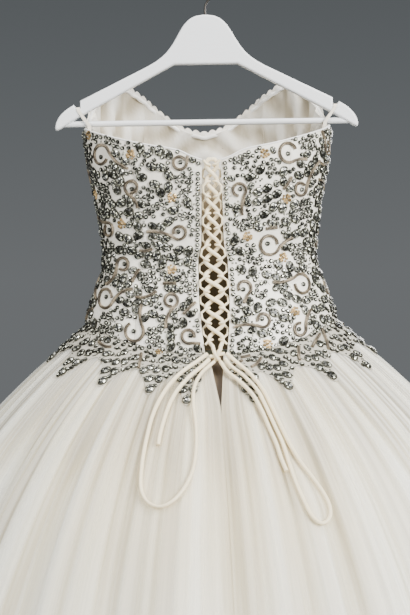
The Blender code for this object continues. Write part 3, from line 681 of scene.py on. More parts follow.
def loop_route(side):
    route = []
    for row in range(LACE_ROWS):
        down = LACE_TOP + row * LACE_PITCH
        turn = float(lace_side(down))
        way = -1 if row % 2 else 1
        start, end = (float(edge_side(down + rise)) - LOOP_RADIUS - SEAM_GAP
                      for rise in (-LOOP_RISE, LOOP_RISE))
        bend = [(start, -LOOP_BEND * way, LOOP_RISE)]
        for angle in range(-90, 91, 18):
            around = math.radians(angle) * way
            bend.append((turn - LOOP_BEND * math.cos(around), LOOP_BEND * math.sin(around),
                         -angle / 90 * 0.0012))
        bend.append((end, LOOP_BEND * way, -LOOP_RISE))
        route += [(side * x, float(lace_plane(down)) + y, rise - down) for x, y, rise in bend]
    return route


for name, side in SIDES:
    finish_piece(add_tubes(f"lace_{name}", [lacing_route(side)], LACE_RADIUS, 12, CORD, 0.9),
                 "satin_cord", f"lacing_{name}")
    finish_piece(add_tubes(f"loops_{name}", [loop_route(side)], LOOP_RADIUS, 8, CORD),
                 "satin_cord", f"loop_tape_{name}")
print("Lacing crosses", LACE_ROWS - 1, "times")

# %% [markdown]
# Seven satin panels make the bodice. Each is a closed shell, satin outside and lining inside,
# with a slight groove at its seams.

# %% Bodice panels
PANEL_ROWS, PANEL_COLUMNS = 56, 44
CUP_FOOT, CUP_FROM, CUP_ANGLE = 0.315, 92.0, 136.0
back_seam, side_seam, front_seam = BODICE_SEAMS
seam_turn = math.degrees(SEAM_GAP / 2 / 0.100)
edge_top = float(top_down(opening_angle(top_down(0.0))))
edge_bottom = float(seam_down(0.0))


def back_edge(v):
    return opening_angle(edge_top + (edge_bottom - edge_top) * v)


def from_seam(seam):
    return lambda v: seam + seam_turn + 0 * v


PANELS = {}
for name, low_edge, high_seam in (("back", back_edge, back_seam),
                                  ("side", from_seam(back_seam), side_seam),
                                  ("front_side", from_seam(side_seam), front_seam)):
    for side_name, side in SIDES:
        PANELS[f"{name}_{side_name}"] = (low_edge, high_seam - seam_turn, side)
PANELS["front_centre"] = (from_seam(front_seam), 360 - front_seam - seam_turn, 1)


def cup_creases(angle, down):
    """Soft creases and seams that fan out from below each cup's highest point. The second value is
    the painted shade of their hollows, for the lining's colour.
    """
    turned = np.minimum(np.abs(angle) % 360, 360 - np.abs(angle) % 360)
    x = (turned - CUP_ANGLE) * 0.0022
    y = CUP_FOOT - down
    fan = np.arctan2(x, y)
    wave = np.sin(13 * fan + 2.2 * np.sin(31 * y) + 1.4 * np.sin(57 * x + 1.0))
    wave = 0.0030 * wave + 0.0014 * np.sin(29 * fan - 3.0 * np.sin(43 * y))
    seam = 0.0022 * sum(np.exp(-((fan - line) / 0.035) ** 2) for line in (-0.55, 0.02, 0.62))
    height = ease(y / 0.05) * ease((turned - CUP_FROM) / 12.0)
    hollow_shade = np.clip(0.5 + (wave + seam) / 0.0055, 0, 1)
    return (wave - seam - 0.0030) * height, hollow_shade * height


def add_panel(name, low_angle, high_angle, side):
    v = np.linspace(0.0, 1.0, PANEL_ROWS)[:, None]
    u = np.linspace(0.0, 1.0, PANEL_COLUMNS)[None, :]
    low = low_angle(v)
    angle = low + (high_angle - low) * u
    if side < 0:
        angle = -angle[:, ::-1]
    top = top_down(angle)
    down = top + (seam_down(angle) - top) * v
    across = passed_along(bodice_point(angle, down, 0.0), 1)
    edge = np.minimum(across, across[:, -1:] - across)
    ripple = 0.5 + 0.5 * np.sin(down * 95 + angle * 0.21) * np.sin(angle * 0.33 + 1.0)
    out = -0.0009 * np.exp(-(edge / 0.0035) ** 2) - 0.0005 * ripple
    crease, hollow_shade = cup_creases(angle, down)
    outer = bodice_point(angle, down, out + 0.5 * crease)
    inner = bodice_point(angle, down, out * 0.6 - 0.0016 + crease)
    uv = np.stack([across, down - 0.16], -1)
    panel = add_shell(name + "_satin", outer, inner, uv, [SATIN, LINING])
    # The lining is painted darker in these creases' hollows: painted shade.
    mark_fold_shade(panel, hollow_shade)
    finish_piece(panel, "beaded_satin", name)
    return panel, float(across[:, -1].mean()), float((seam_down(angle) - top).mean())


satin_panels = {name: add_panel(name, *row) for name, row in PANELS.items()}
for name, (panel, width, length) in satin_panels.items():
    print(name, "is", round(width, 3), "by", round(length, 3), "m")

# %% [markdown]
# The top edge is piped. On the front it is a softer roll, with a scalloped strip of lace behind.

# %% Piping and lace edge
SCALLOP = 0.0125


def add_piping():
    """A thin edge round the back, and a softer roll over the front."""
    start = float(opening_angle(top_down(0.0)))
    angles = np.linspace(start, 360 - start, 420)
    route = bodice_point(angles, top_down(angles) + 0.0006, -0.0008)
    front = np.linspace(98.0, 262.0, 260)
    uneven = 0.0008 * np.sin(front * 0.9) * np.sin(front * 0.37 + 1.0)
    roll = bodice_point(front, top_down(front) + 0.0022 + uneven, -0.0034 + uneven)
    return add_tubes("top_piping", [roll], 0.0030, 10, PIPING, more=tube_parts(route, 0.0014, 8))


def add_lace_edge():
    """A scalloped strip of lace that stands on the front's top edge."""
    rise = np.linspace(0.0, 1.0, 7)[:, None]
    angles = np.linspace(99.0, 261.0, 560)[None, :] + 0 * rise
    passed = passed_along(bodice_point(angles, top_down(angles), -0.0012), 1)
    scallop = 0.0040 + 0.0045 * np.abs(np.sin(passed * math.pi / SCALLOP)) ** 0.8
    scallop *= ease((angles - 99.0) / 8.0) * ease((261.0 - angles) / 8.0)
    lean = 0.0015 * rise * np.sin(passed * 310.0) * (1 - rise)
    down = top_down(angles) - scallop * (1 - rise)
    outer = bodice_point(angles, down, -0.0008 + lean)
    inner = bodice_point(angles, down, -0.0016 + lean)
    return add_shell("cup_lace", outer, inner, np.stack([passed, down], -1), [LACE])


piping = finish_piece(add_piping(), "beaded_satin")
cup_lace = finish_piece(add_lace_edge(), "tulle")
print("The lace edge has", len(cup_lace.data.polygons), "faces")

# %% [markdown]
# The skirt has eight gores of tulle. Every gather of the solids is kept, with smaller uneven
# folds between, and each fold wanders a little on its way down.

# %% Skirt gores
GORE_COLUMNS, VEIL_COLUMNS = 150, 240
GORE_ROOM, VEIL_TRIM = 0.006, 0.004
TULLE_THICKNESS, VEIL_THICKNESS = 0.0012, 0.0003
VEIL_ROOM, VEIL_CLEAR = 0.0024, 0.0003
# Broad folds, columns: how many round the skirt, share, start, sway on the way down
BROAD_FOLDS = [(19, 0.45, 0.4, 1.1), (31, 0.50, 2.0, -1.6), (44, 0.50, 4.1, 2.2),
               (61, 0.35, 1.2, -2.9), (83, 0.20, 5.0, 3.5)]
dice = random.Random(7)
gather_depths = np.array([dice.uniform(0.6, 1.15) for column in range(2 * GATHERS)])
drops = np.array([1.097 * (k / 60) ** 1.45 for k in range(61)])[:, None]


def skirt_strip(first, span, columns, trim):
    """Angles and drops of a piece of the skirt, a little short of its neighbours."""
    angle = first + np.linspace(0.0, span, columns + 1)[None, :] + 0 * drops
    trim = trim / (0.2 + read(SKIRT_ROWS, drops, SPREAD)[:, 0])
    angle[:, 0] += trim
    angle[:, -1] -= trim
    return angle, drops + 0 * angle


def gather_column(angle):
    return (angle % 360) / (180 / GATHERS)


def slit_shift(column, drop):
    """How far cloth beside the centre back moves aside to open the slit."""
    near = (1 - drop / SLIT_LENGTH) * (1 - np.minimum(column, SLIT_COLUMNS) / SLIT_COLUMNS)
    return SLIT_HALF_WIDTH * np.where((drop < SLIT_LENGTH) & (column <= SLIT_COLUMNS), near, 0.0)


def open_point(angle, drop, out):
    """A place on the skirt, moved aside where the slit is open."""
    column = gather_column(angle)
    place = skirt_point(angle, drop, fold_out(angle, drop) + out)
    place[..., 0] += slit_shift(column, drop) - slit_shift(2 * GATHERS - column, drop)
    return place


def broad_wave(angle, drop):
    """From 0 on a broad fold's crest to 1 in the hollow beside it."""
    turn = np.radians(angle)
    wave = sum(share * np.sin(waves * turn + start + sway * drop)
               for waves, share, start, sway in BROAD_FOLDS)
    return 0.5 + 0.5 * np.tanh(1.3 * wave)


def gather_wave(angle, drop):
    """From 0 on a crest to about 1 in the gather beside it, with small folds between."""
    turn = np.radians(angle)
    wander = 0.35 * np.sin(9 * turn + 3.1 * drop) + 0.25 * np.sin(17 * turn - 5.3 * drop + 1.0)
    place = gather_column(angle) + wander * ease(drop / 0.3)
    odd = (2 * np.floor(place / 2) + 1).astype(int) % (2 * GATHERS)
    deep = gather_depths[odd] * np.sin(np.pi * place / 2) ** 2
    fine = 0.5 + 0.3 * np.sin(151 * turn + 4.0 * np.sin(11 * turn) + 6.0 * drop)
    fine = fine + 0.2 * np.sin(263 * turn + 3.0 * np.sin(7 * turn + 1.3) - 9.0 * drop)
    loose = ease(drop / 0.22)
    return (1 - 0.85 * loose) * deep + loose * (0.06 * fine + 0.98 * broad_wave(angle, drop))


def add_gore(number):
    angle, drop = skirt_strip(number * 360 / GORES, 360 / GORES, GORE_COLUMNS, GORE_ROOM)
    gathers = gather_wave(angle, drop)
    out = -VEIL_ROOM - read(SKIRT_ROWS, drop, GATHER_DEPTH) * gathers
    outer = open_point(angle, drop, out)
    inner = open_point(angle, drop, out - TULLE_THICKNESS)
    across = passed_along(outer, 1)
    uv = np.stack([across / across[:, -1:] * 0.70 + number * 0.7, drop], -1)
    gore = add_shell(f"tulle_{number + 1}", outer, inner, uv, [TULLE])
    # Painted shade for the tulle: how dark each point is painted, deepest in the broad folds'
    # hollows and in the gathers, and strongest near the top under the hem's points.
    near = ease(1.25 - drop / 0.75)
    gathered = gathers * (1 - ease(drop / 0.22))
    hollow_shade = broad_wave(angle + 0.35, drop) * ease(drop / 0.04)
    high = 1 + 1.9 * ease((0.21 - drop) / 0.16)
    mark_fold_shade(gore, (0.35 + 0.65 * near) * high * hollow_shade + 0.75 * gathered)
    finish_piece(gore, "tulle", f"gore_{number + 1}")
    return gore, cloth_size(outer)


gores = [add_gore(number) for number in range(GORES)]
for gore, (width, length, area) in gores:
    print(gore.name, "has", round(area, 3), "square metres and is", round(length, 3), "m long")

# %% [markdown]
# A sheer veil of tulle lies over the gathers in four pieces. It softens them, and the edge of
# the skirt. A dark brown sheet shows through the slit below the knot: painted shade, standing in
# for the shade inside the skirt.

# %% Veil and underlay
SHADE_SHEET_SPAN, SHADE_SHEET_DROP, SHADE_SHEET_BEHIND = 9.0, 0.115, 0.016


def add_veil(number):
    angle, drop = skirt_strip(number * 90.0, 90.0, VEIL_COLUMNS, VEIL_TRIM)
    turn = np.radians(angle)
    wave = 0.5 + 0.3 * np.sin(47 * turn + 3.0 * np.sin(9 * turn) + 4.0 * drop)
    wave = wave + 0.2 * np.sin(103 * turn + 2.0 * np.sin(13 * turn) - 5.0 * drop)
    out = VEIL_CLEAR - 0.0018 * wave * ease(drop / 0.1)
    outer = open_point(angle, drop, out)
    inner = open_point(angle, drop, out - VEIL_THICKNESS)
    uv = np.stack([angle / 90.0 * 1.4, drop], -1)
    veil = finish_piece(add_shell(f"veil_{number + 1}", outer, inner, uv, [VEIL]), "tulle")
    return veil, cloth_size(outer)


# The sheet is painted shade: a dark sheet where the inside of the skirt lies in shade.
def add_shade_sheet():
    drop = np.linspace(0.002, SHADE_SHEET_DROP, 16)[:, None]
    angle = np.linspace(-SHADE_SHEET_SPAN, SHADE_SHEET_SPAN, 19)[None, :] + 0 * drop
    drop = drop + 0 * angle
    out = fold_out(angle, drop) - SHADE_SHEET_BEHIND - 0.0015 * np.sin(angle * 1.1 + drop * 30)
    uv = np.stack([np.radians(angle) * 0.2, drop], -1)
    outer = skirt_point(angle, drop, out)
    inner = skirt_point(angle, drop, out - 0.0008)
    piece = finish_piece(add_shell("underlay", outer, inner, uv, [SHADE_SHEET]), "tulle")
    return piece, cloth_size(outer)


veils = [add_veil(number) for number in range(4)]
underlay, shade_sheet_size = add_shade_sheet()
print("veil pieces have", [round(area, 3) for veil, (width, length, area) in veils],
      "square metres")

# %% [markdown]
# Four pieces of beaded net lie on the skirt below the seam, with long points.

# %% Net under the hem stones
NET_THICKNESS = 0.0004


def add_net(name, side, front):
    place = np.concatenate([np.arange(5.0, 90.0, 0.5), [89.94]])[None, :]
    band = np.linspace(0.0, 1.0, 13)[:, None]
    drop = read(HEM_POINT_ROWS, place) * band
    angle = side * (180.0 - place if front else place) + 0 * band
    order = slice(None) if (side > 0) != front else slice(None, None, -1)
    angle, drop = angle[:, order], drop[:, order]
    out = fold_out(angle, drop) + APPLIQUE_CLEAR
    uv = np.stack([np.radians(angle) * 0.2, drop], -1)
    outer = skirt_point(angle, drop, out + NET_THICKNESS)
    net = add_shell(name + "_net", outer, skirt_point(angle, drop, out), uv, [NET])
    strip = drop.max() * band + 0 * angle
    width, length, whole = cloth_size(skirt_point(angle, strip, fold_out(angle, strip)))
    return finish_piece(net, "beadwork", name), (width, length, cloth_size(outer)[2])


nets = {}
for where, front in (("back", False), ("front", True)):
    for side_name, side in SIDES:
        nets[f"hem_{where}_{side_name}"] = add_net(f"hem_{where}_{side_name}", side, front)
print("Net pieces:", ", ".join(nets))

# %% [markdown]
# A few stones are modelled once: two cut ovals, two rounds in cups, two seed beads and a small
# gold flower. Every facet has its own colour, which stands in for what it would reflect.

# %% Stones
# Rings of a stone: radius, height, half steps turned. Its paint has a row for each ring, and the
# last is its table: one (low, high) of metal, or (low, high, weight) ranges of cut glass.
OVAL_CUT = (12, ((1.0, 0.0, 0), (0.98, 0.34, 0), (0.84, 0.38, 0), (0.60, 0.68, 1), (0.34, 0.76, 2)))
ROUND_CUT = (7, ((1.0, 0.0, 0), (0.97, 0.50, 0), (0.80, 0.56, 0), (0.36, 0.78, 1)))
SEED_CUT = (5, ((1.0, 0.0, 0), (0.55, 0.70, 0)))
# The greys of cut glass are painted reflections: most facets dark, and a few bright ones that are
# painted glints.
OVAL_FACETS = ((0.005, 0.03, 0.54), (0.09, 0.28, 0.26), (0.80, 1.0, 0.20))
OVAL_PAINT = (((0.02, 0.06),), ((0.03, 0.12),), OVAL_FACETS, OVAL_FACETS,
              ((0.01, 0.08, 0.6), (0.30, 0.8, 0.4)))
ROUND_PAINT = (((0.02, 0.05),), ((0.02, 0.08),), ((0.005, 0.04, 0.92), (0.80, 1.0, 0.08)))
# A pale table is a painted highlight, and a dark table a painted reflection of the dark room.
PALE_TABLE, DARK_TABLE = ((0.75, 1.0, 1.0),), ((0.12, 0.40, 1.0),)
SEED_PAINT = (((0.03, 0.30),), ((0.02, 0.10, 0.55), (0.25, 0.95, 0.45)))


def facet_color(cut, ranges):
    """A metal's grey, or a slightly yellow grey from one of a few weighted ranges. On cut glass
    this grey is a painted reflection, and the bright ones are painted glints.
    """
    if len(ranges[0]) == 2:
        grey = cut.uniform(*ranges[0])
        return (grey * 1.03, grey, grey * 0.76, 1.0)
    low, high, weight = cut.choices(ranges, [row[2] for row in ranges])[0]
    grey = cut.uniform(low, high)
    warm = cut.uniform(0.06, 0.26)
    return (grey, grey, grey * (1 - warm), 1.0)


def painted_stone(name, points, faces, paint):
    stone = add_mesh(name, points, faces, [STONES])
    stone.data.shade_flat()
    layer = stone.data.attributes.new("paint", "FLOAT_COLOR", "FACE")
    layer.data.foreach_set("color", np.array(paint, dtype=float).ravel())
    return stone


def make_stone(name, seed, sides, rings, ranges):
    """A stone of stacked rings, closed by a table."""
    cut = random.Random(seed)
    points, faces, paint = [], [], []
    for radius, height, half in rings:
        for k in range(sides):
            turn = 2 * math.pi * (k + 0.5 * half) / sides
            points.append((radius * math.cos(turn), radius * math.sin(turn), height))
    for ring in range(len(rings) - 1):
        turned = rings[ring + 1][2] > rings[ring][2]
        for k in range(sides):
            a, b = ring * sides + k, ring * sides + (k + 1) % sides
            c, d = b + sides, a + sides
            for face in [(a, b, d), (b, c, d)] if turned else [(a, b, c, d)]:
                faces.append(face)
                paint.append(facet_color(cut, ranges[ring]))
    last = (len(rings) - 1) * sides
    faces.append(tuple(range(last, last + sides)))
    paint.append(facet_color(cut, ranges[-1]))
    return painted_stone(name, points, faces, paint)


def make_flower(name):
    """Seven small gold beads round an eighth."""
    points, faces, paint = [], [], []
    cut = random.Random(5)
    spots = [(0.05, -0.04, 0.34)]
    for k in range(7):
        turn = k * math.pi / 3.5 + cut.uniform(-0.2, 0.2)
        away = cut.uniform(0.55, 0.75)
        spots.append((away * math.cos(turn), away * math.sin(turn), cut.uniform(0.22, 0.36)))
    for x, y, size in spots:
        top = len(points)
        points.append((x, y, size * 1.1))
        for height in (size * 0.45, 0.0):
            for k in range(6):
                turn = k * math.pi / 3
                points.append((x + size * math.cos(turn), y + size * math.sin(turn), height))
        for k in range(6):
            a, b = top + 1 + k, top + 1 + (k + 1) % 6
            faces += [(top, a, b), (a, a + 6, b + 6, b)]
            # Each facet's gold is painted lighter or darker, as a painted reflection.
            gold = cut.choice((0.25, 0.55, 0.9))
            paint += [(0.85 * gold, 0.58 * gold, 0.27 * gold, 1.0)] * 2
    return painted_stone(name, points, faces, paint)


KINDS = {
    "Oval": make_stone("oval", 1, *OVAL_CUT, OVAL_PAINT),
    "Second oval": make_stone("second_oval", 2, *OVAL_CUT, OVAL_PAINT),
    "Round": make_stone("round", 3, *ROUND_CUT, ROUND_PAINT + (PALE_TABLE,)),
    "Second round": make_stone("second_round", 4, *ROUND_CUT, ROUND_PAINT + (DARK_TABLE,)),
    "Flower": make_flower("flower"),
    "Seed": make_stone("seed", 6, *SEED_CUT, SEED_PAINT),
    "Second seed": make_stone("second_seed", 9, *SEED_CUT, SEED_PAINT),
}
OVALS, ROUNDS, SEEDS = (("Oval", "Second oval"), ("Round", "Second round"),
                        ("Seed", "Second seed"))
print("Stones:", {name: len(stone.data.polygons) for name, stone in KINDS.items()})

# %% [markdown]
# Stones are laid out on a flat map of the cloth, measured in metres. The map gives back the
# angle, so a motif keeps its true size on the body.

# %% Flat maps
ANGLES = np.arange(0.0, 180.1, 1.0)


def make_map(point, heights):
    """Distance from the centre back for each height and angle."""
    rows = [passed_along(point(ANGLES, np.full(len(ANGLES), height))) for height in heights]
    return heights, np.array(rows)


def bodice_surface(angle, down):
    return bodice_point(angle, down, 0.0)


def hem_surface(angle, drop):
    return skirt_point(angle, drop, fold_out(angle, drop) + APPLIQUE_CLEAR + NET_THICKNESS)


BODICE_MAP = make_map(bodice_surface, np.linspace(0.165, 0.570, 28))
HEM_MAP = make_map(hem_surface, np.linspace(0.0, 0.076, 12))


def map_row(flat_map, height):
    heights, rows = flat_map
    spot = np.interp(height, heights, np.arange(len(heights)))
    i = min(int(spot), len(heights) - 2)
    return rows[i] + (rows[i + 1] - rows[i]) * (spot - i)


def angle_at(flat_map, s, height):
    row = map_row(flat_map, height)
    return math.copysign(float(np.interp(abs(s), row, ANGLES)), s), float(row[-1])


def side_at(flat_map, angle, height):
    row = map_row(flat_map, height)
    return math.copysign(float(np.interp(abs(angle), ANGLES, row)), angle)


print("The flat maps are", round(float(BODICE_MAP[1].max()), 3), "and",
      round(float(HEM_MAP[1].max()), 3), "m wide to the front's middle")

# %% [markdown]
# A layout is a list of stones and of beaded cords. A place is taken only once, which a grid of
# cells checks quickly.

# %% Layout tools
CELL = 0.04
ROUND_ROOM, SEED_SIZE, CORD_ROOM = 0.0030, 0.0017, 0.0019
STEM_STEP = 0.0028
CIRCLE = 6.28


class Layout:
    """Stones and cords on one flat map, and the room that they take."""

    def __init__(self, flat_map, inside, seed):
        self.flat_map = flat_map
        self.inside = inside
        self.dice = random.Random(seed)
        self.cells = {}
        self.stones = []
        self.cords = []

    def room(self, s, t, radius):
        return self.inside(s, t, radius) and self.free(s, t, radius)

    def free(self, s, t, radius):
        i, j = int(s // CELL), int(t // CELL)
        near = (spot for a in (i - 1, i, i + 1) for b in (j - 1, j, j + 1)
                for spot in self.cells.get((a, b), ()))
        return all((s - x) ** 2 + (t - y) ** 2 >= (radius + r) ** 2 for x, y, r in near)

    def take(self, s, t, radius):
        self.cells.setdefault((int(s // CELL), int(t // CELL)), []).append((s, t, radius))

    def put(self, kind, s, t, size, turn):
        self.stones.append((kind, s, t, size, turn, self.dice.random()))

    def add(self, kind, s, t, size, turn, radius):
        """Put a stone down if there is room."""
        if not self.room(s, t, radius):
            return False
        self.take(s, t, radius)
        self.put(kind, s, t, size, turn)
        return True

    def spread(self, tries, apart, anywhere, put):
        """Try random places, each at least so far from those that were used."""
        used = []
        for attempt in range(tries):
            s, t = anywhere()
            if all(math.hypot(s - x, t - y) > apart for x, y in used) and put(s, t):
                used.append((s, t))
        return used

    def stems(self, tries, start, bend, counts, shortest, leafy=True):
        """Try loose stems of beaded cord, with leaves or bare."""
        for attempt in range(tries):
            stem = trace_stem(self, *start(), self.dice.uniform(0, CIRCLE),
                              self.dice.uniform(-bend, bend), round(self.dice.uniform(*counts)))
            if len(stem) > shortest:
                self.cords.append(stem)
                if leafy:
                    add_leaves(self, stem)
                else:
                    keep_clear(self, stem)


def trace_stem(layout, x, y, heading, bend, count):
    """Points of a curved stem, as far as there is room."""
    stem = []
    for k in range(count):
        heading += bend * STEM_STEP
        x += STEM_STEP * math.cos(heading)
        y += STEM_STEP * math.sin(heading)
        if not layout.room(x, y, 0.0022):
            break
        stem.append((x, y))
    return stem


def keep_clear(layout, stem):
    """Take the room along a stem."""
    for x, y in stem:
        layout.take(x, y, CORD_ROOM)


def add_leaves(layout, stem):
    """Small ovals on both sides of a stem."""
    keep_clear(layout, stem)
    for k in range(2, len(stem) - 1, 4):
        x, y = stem[k]
        ahead = math.atan2(stem[k + 1][1] - y, stem[k + 1][0] - x)
        for way in (-1, 1):
            place = ahead + way * 1.25
            layout.add(layout.dice.choice(OVALS), x + 0.0078 * math.cos(place),
                       y + 0.0078 * math.sin(place), 0.0074, ahead + way * 0.6, 0.0050)


def add_curl(layout, s, t, radius, hand, lean):
    """A spiral of beaded cord round one stone, with a curved stem."""
    if not layout.room(s, t, radius + 0.001):
        return False
    ring = []
    turns = layout.dice.uniform(250, 345)
    for k in range(29):
        turn = lean + hand * math.radians(turns * k / 28)
        grow = (radius - 0.0018) * (0.80 + 0.20 * k / 28)
        ring.append((s + grow * math.cos(turn), t + grow * math.sin(turn)))
    x, y = ring[-1]
    heading = math.atan2(y - ring[-2][1], x - ring[-2][0])
    bend = -hand * layout.dice.uniform(14.0, 34.0)
    stem = trace_stem(layout, x, y, heading, bend, round(layout.dice.uniform(5, 18)))
    layout.take(s, t, radius + 0.0002)
    layout.cords.append(ring + stem)
    away = layout.dice.uniform(0.0, 0.25) * radius
    place = layout.dice.uniform(0, CIRCLE)
    layout.put("Second round", s + away * math.cos(place), t + away * math.sin(place), 0.0036, 0.0)
    add_leaves(layout, stem)
    return True


def add_seeds(layout, places):
    """Small beads in what room is left."""
    for s, t in places:
        kind = layout.dice.choice(SEEDS)
        layout.add(kind, s, t, SEED_SIZE, layout.dice.uniform(0, 6), SEED_SIZE)


def add_cluster(layout, s, t, radius, size=0.0033):
    """Rounds on a six-sided grid, thinner towards its rim."""
    pitch = 0.0069
    lean = layout.dice.uniform(0, math.pi)
    for i in range(-5, 6):
        for j in range(-5, 6):
            x, y = pitch * (i + 0.5 * j), pitch * j * 0.866
            if math.hypot(x, y) > radius * layout.dice.uniform(0.85, 1.1):
                continue
            x += layout.dice.uniform(-0.0007, 0.0007)
            y += layout.dice.uniform(-0.0007, 0.0007)
            place = (s + x * math.cos(lean) - y * math.sin(lean),
                     t + x * math.sin(lean) + y * math.cos(lean))
            kind = layout.dice.choice(ROUNDS)
            layout.add(kind, *place, size, layout.dice.uniform(0, 6), ROUND_ROOM)

# %% [markdown]
# The bodice carries curls first, then leafy stems, a line of rounds beside the lacing, clusters
# and flowers. Ovals, small clusters and seeds fill what is left, and some satin stays bare.

# %% Bodice layout
def inside_bodice(s, t, radius):
    angle, half = angle_at(BODICE_MAP, s, t)
    if abs(s) > half:
        return False
    if t - radius < top_down(angle) - 0.0005 or t + radius > seam_down(angle) + 0.002:
        return False
    return abs(s) - radius > float(edge_side(t)) + 0.0010


def lay_out_bodice():
    layout = Layout(BODICE_MAP, inside_bodice, 11)
    dice = layout.dice

    def anywhere():
        return dice.uniform(-0.50, 0.50), dice.uniform(0.17, 0.57)

    def put_curl(s, t):
        radius = 0.0170 if dice.random() < 0.25 else 0.0120
        return add_curl(layout, s, t, radius, dice.choice((-1, 1)), dice.uniform(0, CIRCLE))

    def put_cluster(s, t):
        if not layout.room(s, t, 0.005):
            return False
        add_cluster(layout, s, t, dice.uniform(0.010, 0.020))
        return True

    def put_flower(s, t):
        return layout.add("Flower", s, t, 0.0080, dice.uniform(0, 6), 0.0068)

    curls = layout.spread(2600, 0.052, anywhere, put_curl)
    layout.stems(160, anywhere, 45, (7, 13), 6)
    for side in (-1, 1):
        for t in np.arange(0.29, 0.57, 0.0072):
            if dice.random() < 0.85:
                s = side * (float(edge_side(t)) + 0.0048 + dice.uniform(0, 0.0008))
                layout.add("Round", s, float(t), 0.0033, dice.uniform(0, 6), ROUND_ROOM)
    centres = layout.spread(1600, 0.050, anywhere, put_cluster)
    flowers = layout.spread(900, 0.062, anywhere, put_flower)
    for attempt in range(12000):
        s, t = anywhere()
        flow = 2.2 * math.sin(s * 31 + 2 * math.sin(t * 23)) + 1.6 * math.sin(t * 37 + s * 17)
        layout.add(dice.choice(OVALS), s, t, 0.0086, flow, 0.0064)
    for attempt in range(26000):
        s, t = anywhere()
        bare = math.sin(s * 71 + 3 * math.sin(t * 41)) + math.sin(t * 83 + 2 * math.sin(s * 47))
        if bare > 0.6:
            continue
        if dice.random() < 0.25:
            layout.add("Second oval", s, t, 0.0060, dice.uniform(0, 3.14), 0.0043)
        elif layout.room(s, t, 0.0029):
            add_cluster(layout, s, t, dice.uniform(0.004, 0.010))
    seeded = [anywhere() for attempt in range(14000)]
    add_seeds(layout, [(s, t) for s, t in seeded
                       if math.sin(s * 53 + 2 * math.sin(t * 61)) + math.sin(t * 67) < -0.3])
    print("Bodice:", len(layout.stones), "stones,", len(curls), "curls,", len(centres), "clusters,",
          len(flowers), "flowers")
    return layout


bodice_layout = lay_out_bodice()

# %% [markdown]
# The hem's points each end in a few long ovals. Stems, ovals, flowers and clusters fill the band
# above them.

# %% Hem layout
HEM_TIPS = (10, 22.5, 40, 60, 80)
# The stones of a tip: across it, up from its end, how far turned, half as long
TIP_STONES = (
    (0.0, 0.0076, 0.0, 0.0086), (-0.0066, 0.0205, 0.45, 0.0082), (0.0068, 0.0215, -0.45, 0.0080),
    (-0.0010, 0.0330, 0.0, 0.0074), (-0.0112, 0.0350, 0.5, 0.0074), (0.0108, 0.0360, -0.5, 0.0074),
    (0.0010, 0.0470, 0.0, 0.0070),
)


def hem_depth(angle):
    turned = abs(angle) % 360
    return float(read(HEM_POINT_ROWS, min(turned, 180 - turned)))


def inside_hem(s, t, radius):
    angle, half = angle_at(HEM_MAP, s, max(t, 0.0))
    near = min(abs(angle), 180 - abs(angle))
    if abs(s) >= half or near <= 5.2 or t - radius <= -0.004:
        return False
    return t + 0.55 * radius < hem_depth(angle)


def add_tip(layout, angle):
    """The long ovals of one point of the hem."""
    depth = hem_depth(angle)
    lean = layout.dice.uniform(-0.2, 0.2)
    for across, up, turn, size in TIP_STONES:
        t = max(depth - up, 0.0)
        s = side_at(HEM_MAP, angle, t) + across
        kind = layout.dice.choice(OVALS)
        if t > 0.002 and layout.free(s, t, 0.0040):
            layout.take(s, t, 0.0054)
            layout.put(kind, s, t, size, math.pi / 2 + turn + lean)


def lay_out_hem():
    layout = Layout(HEM_MAP, inside_hem, 23)
    dice = layout.dice

    def place(half, low, high):
        return lambda: (dice.uniform(-half, half), dice.uniform(low, high))

    upper, band = place(0.62, 0.0, 0.05), place(0.62, -0.002, 0.066)
    for side in (-1, 1):
        for base in HEM_TIPS:
            add_tip(layout, side * base)
            add_tip(layout, side * (180 - base))
    layout.stems(30, place(0.6, 0.004, 0.03), 50, (8, 13), 7, leafy=False)
    layout.stems(70, place(0.6, 0.002, 0.04), 60, (6, 11), 5)
    for attempt in range(420):
        s, t = upper()
        if dice.random() < 0.12:
            layout.add("Flower", s, t, 0.0064, dice.uniform(0, 6), 0.0058)
        else:
            layout.add(dice.choice(OVALS), s, t, 0.0080, 1.2 * math.sin(s * 45) + 1.57, 0.0060)
    for attempt in range(14000):
        s, t = band()
        if layout.room(s, t, 0.0029):
            add_cluster(layout, s, t, dice.uniform(0.004, 0.020), 0.0037)
    add_seeds(layout, [band() for attempt in range(14000)])
    print("Hem:", len(layout.stones), "stones")
    return layout


hem_layout = lay_out_hem()

# %% [markdown]
# One node tree places every stone of a piece. It takes points with a kind, a turn and a size,
# and gives back plain stones in one mesh.

# %% Node tree
INT_A, INT_B = 2, 3


